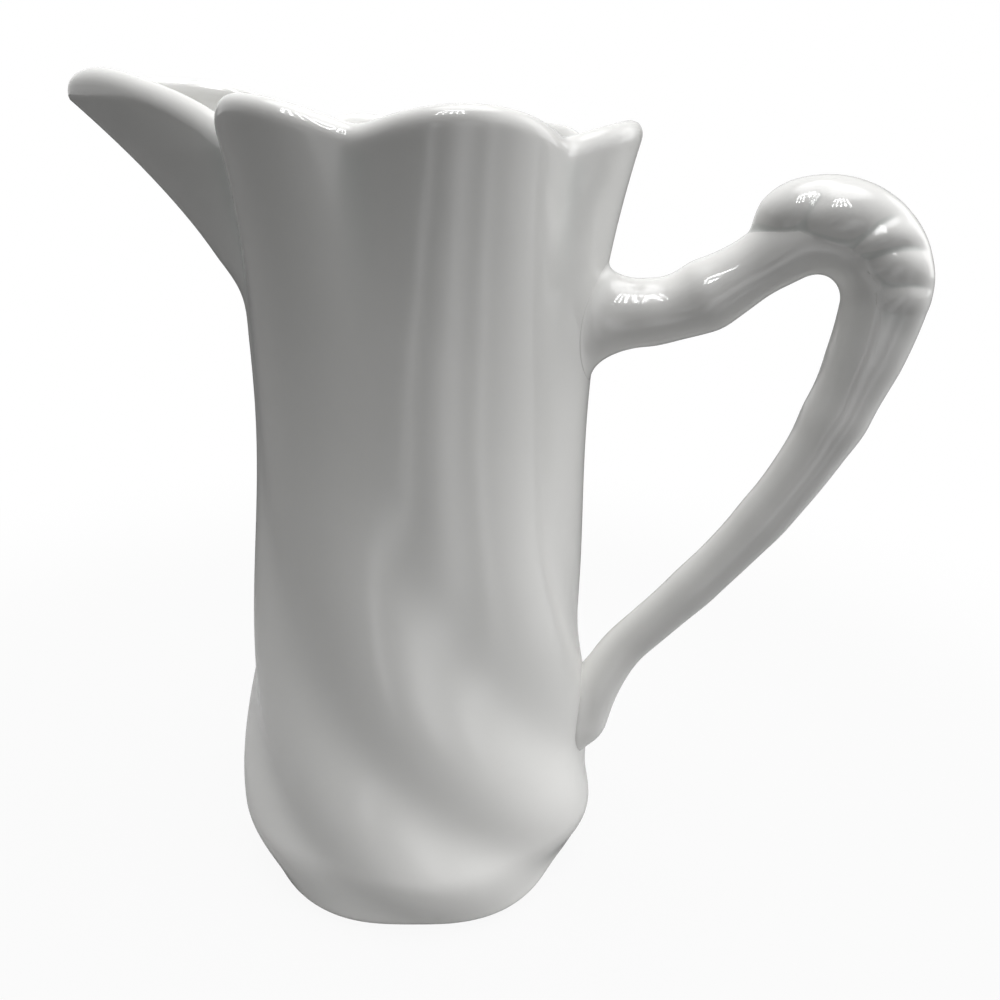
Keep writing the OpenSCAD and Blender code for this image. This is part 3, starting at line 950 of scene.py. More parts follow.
@dataclass
class Handle:
    """The branch handle, its collar and tongue on the body, and the leaf on its bend."""

    # Branch: u runs 0 to 1 up the rise, to 2 round the bend and to 3 down the fall
    root_z: float = 171.4
    collar_len: float = 12.0
    bend_gap: float = 55.2
    bend_z: float = 177.5
    bend_r: float = 15.4
    bend_from: float = 125.0
    bend_to: float = -4.0
    root_heading: float = 7.0
    tail_heading: float = 229.0
    rise_pull: Span = (14.0, 13.0)
    fall_pull: Span = (40.0, 40.0)
    tail_gap: float = 17.2
    tail_z: float = 75.4
    grip_r: float = 9.1
    tail_r: float = 6.2
    thin_from: float = 2.12
    oval: float = 0.95
    knuckle: float = 0.6
    swells: tuple[Swell, ...] = (
        Swell(0.18, 0.12, -0.7), Swell(0.42, 0.1, 0.9), Swell(0.76, 0.18, -1.5), Swell(1.75, 0.4, 0.6),
        Swell(2.27, 0.05, 0.9), Swell(2.56, 0.05, 0.4), Swell(2.8, 0.05, 0.4),
    )
    branch_steps: int = 100
    sides: int = 56

    # Collar
    collar_h: float = 32.0
    collar_w: float = 28.0
    collar_drop: float = 3.0
    collar_rings: int = 28
    sunk: float = 0.8

    # Tongue
    tongue_z: float = 37.0
    tongue_w: float = 18.0
    tongue_t: float = 6.5
    tongue_lead: float = 12.0
    tongue_lift: float = 18.0
    tongue_lean: float = 1.0
    tongue_thick_by: float = 0.5
    tongue_wide_by: float = 0.67
    tongue_nose: float = 0.8
    tongue_tip: float = 0.05
    tongue_rings: int = 90
    fillet: float = 4.0

    # Leaf: soft lobes on the branch, placed by u along it and by degrees round it from its outer side
    leaf_span: Span = (0.84, 2.26)
    leaf_t: float = 5.9
    leaf_thin: Span = (1.275, 2.15)
    end_thick: float = 0.5
    leaf_start: Span = (0.86, 1.16)
    leaf_end: Span = (1.85, 2.17)
    leaf_wide: Span = (36.0, 94.0)
    wide_by: Span = (0.85, 1.45)
    leaf_dome: float = 2.6
    creases: tuple[Crease, ...] = (
        Crease(0.8, 0.0), Crease(1.34, 0.0035), Crease(1.6, 0.0018), Crease(1.8, 0.0026),
        Crease(1.92, 0.0012), Crease(2.06, 0.0004), Crease(2.35, 0.0),
    )
    crease_deep: float = 1.6
    end_crease: float = 0.5
    crease_soft: float = 0.3
    crease_from: float = 0.6
    leaf_melt: float = 1.3
    leaf_sunk: float = 0.25
    leaf_margin: float = 10.0
    leaf_core: float = 0.6
    leaf_rings: int = 180
    leaf_columns: int = 96
    core_step: int = 4

    # Curves and end rings, worked out on the body
    start: np.ndarray = field(init=False)
    end: np.ndarray = field(init=False)
    bend: np.ndarray = field(init=False)
    rise: list[np.ndarray] = field(init=False)
    fall: list[np.ndarray] = field(init=False)
    lay: list[np.ndarray] = field(init=False)
    root_ring: np.ndarray = field(init=False)
    tail_ring: np.ndarray = field(init=False)

    branch: Piece = field(init=False)
    collar: Piece = field(init=False)
    tongue: Piece = field(init=False)
    leaf: Piece = field(init=False)

    def wall_x(self, wall: BVHTree, z: float) -> float:
        """Give the body's radius on the handle's side at a height."""
        far = 300.0
        hit = wall.ray_cast(Vector((far, 0, z)) * MM, Vector((-1, 0, 0)))[0]
        return hit.x / MM

    def lay_out(self, wall: BVHTree) -> None:
        """Work out the branch's curves from the body that they start and end on.

        Args:
            wall: the body's skin.
        """
        self.start = np.array([self.wall_x(wall, self.root_z) + self.collar_len, self.root_z])
        self.end = np.array([self.wall_x(wall, self.tail_z) + self.tail_gap, self.tail_z])
        self.bend = np.array([self.wall_x(wall, self.root_z) + self.bend_gap, self.bend_z])
        bend_a = self.bend + self.bend_r * heading(self.bend_from)
        bend_b = self.bend + self.bend_r * heading(self.bend_to)
        self.rise = [self.start, self.start + self.rise_pull[0] * heading(self.root_heading),
                     bend_a - self.rise_pull[1] * heading(self.bend_from - 90), bend_a]
        self.fall = [bend_b, bend_b + self.fall_pull[0] * heading(self.bend_to - 90),
                     self.end - self.fall_pull[1] * heading(self.tail_heading), self.end]
        foot = np.array([self.wall_x(wall, self.tongue_z), self.tongue_z])
        lean = np.array([self.tongue_lean, 0.0])
        self.lay = [self.end, self.end + self.tongue_lead * heading(self.tail_heading),
                    foot + lean + np.array([0.0, self.tongue_lift]), foot - lean]

    def middle(self, u: float) -> np.ndarray:
        """Give the branch's middle line, as x and z."""
        if u < 1:
            return bezier(self.rise, u)
        if u <= 2:
            return self.bend + self.bend_r * heading(lerp(self.bend_from, self.bend_to, u - 1))
        return bezier(self.fall, u - 2)

    def way(self, u: float) -> float:
        """Give the branch's heading, in degrees."""
        step = 0.004
        ahead = self.middle(min(3.0, u + step)) - self.middle(max(0.0, u - step))
        return math.degrees(math.atan2(ahead[1], ahead[0]))

    def thickness(self, u: float) -> float:
        """Give the branch's radius."""
        t = min(1.0, max(0.0, (u - self.thin_from) / (3 - self.thin_from)))
        bumps = sum(k.share * math.exp(-(((u - k.place) / k.length) ** 2)) for k in self.swells)
        return lerp(self.grip_r, self.tail_r, 1 - (1 - t) ** 2) + self.knuckle * bumps

    def ring(self, mid: np.ndarray, way: float, high: float, wide: float) -> np.ndarray:
        """Give a ring of points square to a heading.

        Args:
            mid: its middle, as x and z.
            way: the heading in degrees.
            high: its radius in the handle's plane.
            wide: its radius across.

        Returns:
            Points, one row each.
        """
        b = np.arange(self.sides) * 2 * math.pi / self.sides
        out = heading(way + 90)
        return np.stack([mid[0] + high * np.cos(b) * out[0], wide * np.sin(b),
                         mid[1] + high * np.cos(b) * out[1]], axis=1)

    def branch_tree(self) -> FormTree:
        """Build the tree that sweeps the branch along its middle line, with its knuckles."""
        form = FormTree("branch", {
            "Grip radius": self.grip_r * MM, "Tail radius": self.tail_r * MM, "Thin from": self.thin_from,
            "Knuckle height": self.knuckle * MM, "Oval": self.oval,
        })
        u = form.attribute("stretch")
        slack = 1.0 - ((u - form.size("Thin from")) / (3.0 - form.size("Thin from"))).unit()
        radius = lerp(form.size("Grip radius"), form.size("Tail radius"), 1.0 - slack * slack)
        for swell in self.swells:
            off = (u - swell.place) / swell.length
            bump = (off * off * -1.0).math("EXPONENT")
            radius = radius + form.size("Knuckle height") * swell.share * bump
        path = form.add("GeometryNodeMeshToCurve", Mesh=form.inputs["Geometry"])
        round_bar = form.add("GeometryNodeCurvePrimitiveCircle", Resolution=self.sides, Radius=1.0)
        swept = form.add("GeometryNodeCurveToMesh", Curve=path.outputs[0],
                         Profile_Curve=round_bar.outputs[0], Scale=radius)
        scale = form.add("ShaderNodeCombineXYZ", X=1.0, Y=form.size("Oval"), Z=1.0)
        pressed = form.add("GeometryNodeTransform", Geometry=swept.outputs[0], Scale=scale.outputs[0])
        form.finish(pressed.outputs[0])
        return form

    def build_branch(self, glaze: bpy.types.Material) -> None:
        """Sweep the branch from its collar to its tongue."""
        us = np.linspace(0, 3, 3 * self.branch_steps + 1)
        mids = [self.middle(u) for u in us]
        seed = bpy.data.meshes.new("branch_line")
        edges = [(k, k + 1) for k in range(len(us) - 1)]
        seed.from_pydata([(m[0] * MM, 0, m[1] * MM) for m in mids], edges, [])
        layer = seed.attributes.new("stretch", "FLOAT", "POINT")
        layer.data.foreach_set("value", us.astype(np.float32))
        part = Skin.of_mesh(self.branch_tree().grow(seed, glaze))
        ends = part.points[0][:self.sides], part.points[0][-self.sides:]
        self.root_ring = self.in_order(ends[0], self.start, self.way(0))
        self.tail_ring = self.in_order(ends[1], self.end, self.way(3))
        shown = part.count
        part.add_face(self.root_ring, False)
        part.add_face(self.tail_ring, True)
        self.branch = Piece.place("branch_handle_knobbly", part.mesh("branch_handle_knobbly"), shown)

    def in_order(self, points: np.ndarray, mid: np.ndarray, way: float) -> np.ndarray:
        """Sort the points of a ring the way that a new ring at the same place runs.

        Args:
            points: the ring's points.
            mid: its middle, as x and z.
            way: its heading in degrees.

        Returns:
            The same points in order.
        """
        high = (points[:, [0, 2]] - mid) @ heading(way + 90)
        turn = np.arctan2(points[:, 1] / self.oval, high) / (2 * math.pi) * self.sides
        ordered = np.empty_like(points)
        ordered[np.round(turn).astype(int) % self.sides] = points
        return ordered

    def build_collar(self, wall: BVHTree) -> None:
        """Spread the branch's upper end on the body in a smooth fillet.

        Args:
            wall: the body's skin.
        """
        near = self.root_ring
        spread = self.ring(self.start - [0, self.collar_drop], 0.0, self.collar_h / 2, self.collar_w / 2)
        along = -np.array([heading(self.root_heading)[0], 0, heading(self.root_heading)[1]])
        rings = np.zeros((self.collar_rings + 2, self.sides, 3))
        for j in range(self.sides):
            hit, normal, _, _ = wall.ray_cast(Vector(spread[j]) * MM, Vector((-1, 0, 0)))
            foot, square = np.array(hit) / MM, np.array(normal)
            out = np.array([0, spread[j, 1], spread[j, 2] - self.start[1] + self.collar_drop])
            out -= square * (out @ square)
            out /= np.linalg.norm(out)
            pull = np.linalg.norm(foot - near[j])
            for i in range(self.collar_rings + 1):
                t = i / self.collar_rings
                rings[i + 1, j] = (near[j] * (2 * t**3 - 3 * t**2 + 1) + foot * (3 * t**2 - 2 * t**3)
                                   + along * pull * (t**3 - 2 * t**2 + t) + out * pull * (t**3 - t**2))
            rings[0, j] = foot - square * self.sunk
        rings = np.roll(rings, -1, axis=0)[::-1]
        self.collar = Piece.tube("upper_collar_flared", rings)

    def build_tongue(self, wall: BVHTree) -> None:
        """Lay the branch's lower end on the body as a tongue with a rounded nose.

        Args:
            wall: the body's skin.
        """
        tail = self.thickness(3)
        rings = []
        for k in range(self.tongue_rings + 1):
            t = k / self.tongue_rings
            past = max(0.0, (t - self.tongue_nose) / (1 - self.tongue_nose))
            nose = math.sqrt(max(self.tongue_tip**2, 1 - past**2))
            high = lerp(tail, self.tongue_t, float(ease(t / self.tongue_thick_by))) * nose
            wide = lerp(tail * self.oval, self.tongue_w / 2, float(ease(t / self.tongue_wide_by))) * nose
            step = 0.005
            ahead = bezier(self.lay, t + step) - bezier(self.lay, t - step)
            way = math.degrees(math.atan2(ahead[1], ahead[0]))
            rings.append(self.ring(bezier(self.lay, t), way, high, wide))
        rings = self.melt(np.array([self.tail_ring, *rings[1:]]), wall)
        self.tongue = Piece.tube("lower_tongue_luted", rings)

    def melt(self, rings: np.ndarray, wall: BVHTree) -> np.ndarray:
        """Swell a tube where it comes near the body, so that they meet in a hollow fillet.

        Args:
            rings: the tube's points, rings by points.
            wall: the body's skin.

        Returns:
            The swollen tube's points.
        """
        bare = Skin()
        bare.add_rings(rings)
        mesh = bare.mesh("unmelted")
        melted = []
        for v, normal in zip(mesh.vertices, mesh.vertex_normals):
            spot, square, _, _ = wall.find_nearest(v.co)
            gap = (v.co - spot).dot(square) / MM
            share = max(0.0, 1 - max(gap, 0) / self.fillet)
            sideways = normal.vector - square * normal.vector.dot(square)
            melted.append(v.co / MM + sideways * (share**2 * self.fillet / 2))
        bpy.data.meshes.remove(mesh)
        return np.array(melted).reshape(rings.shape)

    def leaf_half(self, u: float) -> float:
        """Give the angle from the leaf's middle to its edge: it widens away from its start."""
        share = np.clip((u - self.wide_by[0]) / (self.wide_by[1] - self.wide_by[0]), 0, 1)
        return lerp(*self.leaf_wide, math.sin(math.pi / 2 * share))

    def leaf_height(self, u: float, b: np.ndarray) -> np.ndarray:
        """Give how far the leaf stands above the branch at one place along it.

        Args:
            u: the place along the branch.
            b: angles round the branch in degrees.

        Returns:
            Heights, which fade into the branch at the leaf's edge and lie just under its skin beyond.
        """
        side = np.abs(b)
        across = side / self.leaf_half(u)
        start = max(0.0, (self.leaf_start[1] - u) / (self.leaf_start[1] - self.leaf_start[0]))
        end = max(0.0, (u - self.leaf_end[0]) / (self.leaf_end[1] - self.leaf_end[0]))
        thin = float(ease((u - self.leaf_thin[0]) / (self.leaf_thin[1] - self.leaf_thin[0])))
        thick = self.leaf_t * lerp(1.0, self.end_thick, thin)
        dome = thick * (1 - across**self.leaf_dome - start**2 - end**2)
        lines = [crease.place - crease.lean * side for crease in self.creases]
        lobes = [1 - ((2 * u - low - high) / (high - low)) ** 2 for low, high in zip(lines, lines[1:])]
        pillow = self.crease_soft * np.log(sum(np.exp(lobe / self.crease_soft) for lobe in lobes))
        deep = self.crease_deep * lerp(1.0, self.end_crease, thin) * ease(across / self.crease_from)
        raised = dome - deep * (1 - pillow)
        melt = self.leaf_melt
        skin = np.clip(raised + melt, 0, 2 * melt) ** 2 / (4 * melt) + np.maximum(raised - melt, 0)
        return skin - self.leaf_sunk * ease(-raised - melt)

    def leaf_point(self, u: float, v: np.ndarray) -> np.ndarray:
        """Give points of the leaf's outer skin at one place along it.

        Args:
            u: the place along the branch.
            v: places across the leaf, from -1 to 1.

        Returns:
            Points, one row each.
        """
        b = v * (self.leaf_half(u) + self.leaf_margin)
        r = self.thickness(u) + self.leaf_height(u, b)
        out = heading(self.way(u) + 90)
        mid = self.middle(u)
        turn = np.radians(b)
        return np.stack([mid[0] + r * np.cos(turn) * out[0], r * self.oval * np.sin(turn),
                         mid[1] + r * np.cos(turn) * out[1]], axis=1)

    def build_leaf(self) -> None:
        """Fold the lobed leaf over the bend, closed by a core inside the branch."""
        v = np.linspace(-1, 1, self.leaf_columns)
        rings = []
        for u in np.linspace(*self.leaf_span, self.leaf_rings + 1):
            skin = self.leaf_point(u, v)
            mid = self.middle(u)
            core = lerp(np.array([mid[0], 0, mid[1]]), skin[::-self.core_step], self.leaf_core)
            rings.append(np.concatenate([skin, core]))
        self.leaf = Piece.tube("thumb_leaf_lobed", np.array(rings))

    def build(self, vessel: Vessel, glaze: bpy.types.Material) -> None:
        """Make the handle's four pieces on a body.

        Args:
            vessel: the vessel that carries the handle.
            glaze: the finish of all four.
        """
        shell = vessel.body.obj.data
        faces = [p.vertices[:] for p in shell.polygons]
        wall = BVHTree.FromPolygons([v.co for v in shell.vertices], faces)
        self.lay_out(wall)
        self.build_branch(glaze)
        self.build_collar(wall)
        self.build_tongue(wall)
        self.build_leaf()
        weld_shading([self.branch, self.collar, self.tongue])
        for piece in (self.branch, self.collar, self.tongue, self.leaf):
            piece.dress(glaze)

    def join(self) -> None:
        """Let the pieces stand for their CAD nodes."""
        self.branch.join("branch_handle", Slot.PORCELAIN)
        self.collar.join("upper_collar", Slot.PORCELAIN)
        self.tongue.join("lower_tongue", Slot.PORCELAIN)
        self.leaf.join("thumb_leaf", Slot.PORCELAIN)


class ShaderSketch:
    """A shader node tree that is drawn node by node."""

    def __init__(self, tree: bpy.types.NodeTree) -> None:
        """Hold the tree."""
        self.tree = tree

    def add(self, kind: str, feeds: dict[str | int, object] | None = None,
            **settings: object) -> bpy.types.Node:
        """Add a node.

        Args:
            kind: the node's type.
            feeds: its inputs by name or number, as sockets or plain values.
            settings: its properties.

        Returns:
            The node.
        """
        node = self.tree.nodes.new(kind)
        for name, value in settings.items():
            setattr(node, name, value)
        for slot, value in (feeds or {}).items():
            if isinstance(value, Socket):
                self.tree.links.new(value, node.inputs[slot])
            else:
                node.inputs[slot].default_value = value
        return node

    def math(self, operation: str, *values: object) -> Socket:
        """Add a math node and give its result."""
        return self.add("ShaderNodeMath", dict(enumerate(values)), operation=operation).outputs[0]

    def mix(self, share: object, low: object, high: object) -> Socket:
        """Mix two colours by a share and give the result."""
        node = self.add("ShaderNodeMix", data_type="RGBA")
        sockets = [s for s in node.inputs if s.enabled]
        for slot, value in zip(sockets, (share, low, high)):
            if isinstance(value, Socket):
                self.tree.links.new(value, slot)
            else:
                slot.default_value = value
        return next(s for s in node.outputs if s.enabled)

    def rise(self, value: object, low: float, high: float, most: float = 1.0,
             least: float = 0.0) -> Socket:
        """Rise smoothly while a value goes from one limit to another.

        Args:
            value: the value.
            low: the limit where the result is least.
            high: the limit where it is most.
            most: its most.
            least: its least.

        Returns:
            The result.
        """
        return self.add("ShaderNodeMapRange", {
            "Value": value, "From Min": low, "From Max": high, "To Min": least, "To Max": most},
            interpolation_type="SMOOTHSTEP").outputs[0]

    def effect(self, group: bpy.types.NodeTree, place: Socket, **values: float) -> Socket:
        """Place a shared effect with values of its own and give its result."""
        return self.add("ShaderNodeGroup", {"Vector": place, **values}, node_tree=group).outputs[0]


def start_material(
        name: str) -> tuple[bpy.types.Material, ShaderSketch, bpy.types.Node, Socket]:
    """Start a material.

    Args:
        name: its name.

    Returns:
        The material, its sketch, its shader, and the places on the object that wears it.
    """
    made = bpy.data.materials.new(name)
    made.use_nodes = True
    sketch = ShaderSketch(made.node_tree)
    place = sketch.add("ShaderNodeTexCoord").outputs["Object"]
    return made, sketch, made.node_tree.nodes["Principled BSDF"], place


class Effects:
    """Shader effects that the finishes share, each a node group built once."""

    cloud_limits = (0.3, 0.7)

    def __init__(self) -> None:
        """Build the groups."""
        self.mottle = self.cloud_group("clay_mottle", 3.0)
        self.ripple = self.cloud_group("surface_ripple", 2.0)
        self.specks = self.speck_group()

    @staticmethod
    def group(name: str, inputs: dict[str, str],
              outputs: dict[str, str]) -> tuple[ShaderSketch, dict, dict]:
        """Start a group.

        Args:
            name: its name.
            inputs: the kinds of its inputs by name.
            outputs: the kinds of its outputs by name.

        Returns:
            The sketch, the sockets that bring its inputs, and those that take its outputs.
        """
        tree = bpy.data.node_groups.new(name, "ShaderNodeTree")
        for label, kind in inputs.items():
            tree.interface.new_socket(label, in_out="INPUT", socket_type=f"NodeSocket{kind}")
        for label, kind in outputs.items():
            tree.interface.new_socket(label, in_out="OUTPUT", socket_type=f"NodeSocket{kind}")
        source = tree.nodes.new("NodeGroupInput")
        target = tree.nodes.new("NodeGroupOutput")
        return ShaderSketch(tree), source.outputs, target.inputs

    def cloud_group(self, name: str, detail: float) -> bpy.types.NodeTree:
        """Build a soft cloud of a stated size, as a value from 0 to 1."""
        sketch, source, target = self.group(
            name, {"Vector": "Vector", "Size": "Float"}, {"Value": "Float"})
        scale = sketch.math("DIVIDE", 1.0, source["Size"])
        noise = sketch.add("ShaderNodeTexNoise", {
            "Vector": source["Vector"], "Scale": scale, "Detail": detail, "Roughness": 0.5})
        spread = sketch.rise(noise.outputs["Fac"], *self.cloud_limits)
        sketch.tree.links.new(spread, target["Value"])
        return sketch.tree

    def speck_group(self) -> bpy.types.NodeTree:
        """Build sparse round specks, as a mask that is 1 in a speck."""
        sketch, source, target = self.group(
            "kiln_specks", {"Vector": "Vector", "Spacing": "Float", "Speck": "Float", "Share": "Float"},
            {"Mask": "Float"})
        scale = sketch.math("DIVIDE", 1.0, source["Spacing"])
        cells = sketch.add("ShaderNodeTexVoronoi", {"Vector": source["Vector"], "Scale": scale})
        reach = sketch.math("DIVIDE", source["Speck"], source["Spacing"])
        dot = sketch.add("ShaderNodeMapRange", {
            "Value": cells.outputs["Distance"], "From Min": reach, "From Max": 0.0})
        luck = sketch.add("ShaderNodeSeparateColor", {"Color": cells.outputs["Color"]})
        kept = sketch.math("LESS_THAN", luck.outputs[0], source["Share"])
        sketch.tree.links.new(sketch.math("MULTIPLY", dot.outputs[0], kept), target["Mask"])
        return sketch.tree


@dataclass(frozen=True)
class GlazedPorcelain:
    """Clear glaze over white porcelain: whiter where thin, faintly green and darker where it gathers, as
    painted shade.
    """

    white: Colour = (0.86, 0.86, 0.842, 1.0)
    thin: Colour = (0.89, 0.885, 0.868, 1.0)
    # Hollows: the faint green of gathered glaze, and darker as painted shade
    pooled_glaze_and_shade: Colour = (0.76, 0.78, 0.76, 1.0)
    speck: Colour = (0.5, 0.45, 0.38, 1.0)
    roughness: float = 0.06
    roughness_spread: float = 0.05
    mottle_share: float = 0.5
    thin_share: float = 0.6
    pooled_glaze_and_shade_share: float = 0.8
    speck_share: float = 0.6
    speck_spacing: float = 0.02
    speck_size: float = 0.00028
    speck_odds: float = 0.3
    mottle_size: float = 0.05
    ripple_size: float = 0.016
    ripple_height: float = 0.00005
    peel_size: float = 0.0018
    peel_height: float = 0.0000022
    index: float = 1.5

    def material(self, effects: Effects) -> bpy.types.Material:
        """Build the finish.

        Args:
            effects: the shared node groups.

        Returns:
            The material.
        """
        made, sketch, shader, place = start_material("glazed_porcelain")
        mottle = sketch.effect(effects.mottle, place, Size=self.mottle_size)
        clay = sketch.mix(sketch.math("MULTIPLY", mottle, self.mottle_share), self.white, self.thin)
        hollow = sketch.add("ShaderNodeAttribute", attribute_name="hollow").outputs["Fac"]
        proud = sketch.math("MAXIMUM", sketch.math("MULTIPLY", hollow, -1.0), 0.0)
        clay = sketch.mix(sketch.math("MULTIPLY", proud, self.thin_share), clay, self.thin)
        # Painted shade: hollows turn faintly green, as gathered glaze, and darker, as the shade that falls
        # in them
        sunk = sketch.math("MAXIMUM", hollow, 0.0)
        clay = sketch.mix(sketch.math("MULTIPLY", sunk, self.pooled_glaze_and_shade_share), clay, self.pooled_glaze_and_shade)
        specks = sketch.effect(effects.specks, place, Spacing=self.speck_spacing, Speck=self.speck_size,
                               Share=self.speck_odds)
        clay = sketch.mix(sketch.math("MULTIPLY", specks, self.speck_share), clay, self.speck)
        sketch.tree.links.new(clay, shader.inputs["Base Color"])
        rough = sketch.math("MULTIPLY_ADD", mottle, self.roughness_spread, self.roughness)
        sketch.tree.links.new(rough, shader.inputs["Roughness"])
        shader.inputs["IOR"].default_value = self.index

        ripple = sketch.effect(effects.ripple, place, Size=self.ripple_size)
        peel = sketch.effect(effects.ripple, place, Size=self.peel_size)
        height = sketch.math("ADD", sketch.math("MULTIPLY", ripple, self.ripple_height),
                             sketch.math("MULTIPLY", peel, self.peel_height))
        bump = sketch.add("ShaderNodeBump", {"Height": height, "Distance": 1.0, "Strength": 1.0})
        sketch.tree.links.new(bump.outputs[0], shader.inputs["Normal"])
        return made


@dataclass(frozen=True)
class DryBiscuit:
    """Unglazed porcelain: matt, a little sandy, greyed where it stands."""

    clay: Colour = (0.8, 0.77, 0.71, 1.0)
    toasted: Colour = (0.7, 0.63, 0.54, 1.0)
    worn: Colour = (0.5, 0.48, 0.45, 1.0)
    roughness: float = 0.82
    roughness_spread: float = 0.12
    speck_share: float = 0.5
    speck_spacing: float = 0.004
    speck_size: float = 0.0004
    speck_odds: float = 0.25
    mottle_size: float = 0.012
    grain_size: float = 0.0007
    grain_height: float = 0.00006
    worn_up_to: float = 0.0005

    def material(self, effects: Effects) -> bpy.types.Material:
        """Build the finish.

        Args:
            effects: the shared node groups.

        Returns:
            The material.
        """
        made, sketch, shader, place = start_material("dry_biscuit")
        mottle = sketch.effect(effects.mottle, place, Size=self.mottle_size)
        grain = sketch.effect(effects.ripple, place, Size=self.grain_size)
        specks = sketch.effect(effects.specks, place, Spacing=self.speck_spacing, Speck=self.speck_size,
                               Share=self.speck_odds)
        clay = sketch.mix(mottle, self.clay, self.toasted)
        low = sketch.add("ShaderNodeSeparateXYZ", {0: place}).outputs["Z"]
        worn = sketch.add("ShaderNodeMapRange", {
            "Value": low, "From Min": self.worn_up_to, "From Max": 0.0})
        clay = sketch.mix(sketch.math("MULTIPLY", worn.outputs[0], mottle), clay, self.worn)
        clay = sketch.mix(sketch.math("MULTIPLY", specks, self.speck_share), clay, self.worn)
        sketch.tree.links.new(clay, shader.inputs["Base Color"])
        rough = sketch.math("MULTIPLY_ADD", grain, self.roughness_spread, self.roughness)
        sketch.tree.links.new(rough, shader.inputs["Roughness"])
        height = sketch.math("MULTIPLY", grain, self.grain_height)
        bump = sketch.add("ShaderNodeBump", {"Height": height, "Distance": 1.0, "Strength": 1.0})
        sketch.tree.links.new(bump.outputs[0], shader.inputs["Normal"])
        return made


class Sheen(NamedTuple):
    """A painted reflection: a floor strip that glows only in the glaze; heading and width in degrees, and
    strength.
    """

    heading: float
    width: float
    strength: float


class Glow(NamedTuple):
    """A soft light in the room's sphere: its axis, the cosines where it begins and is full, and strength."""

    axis: Point
    cap: Span
    strength: float


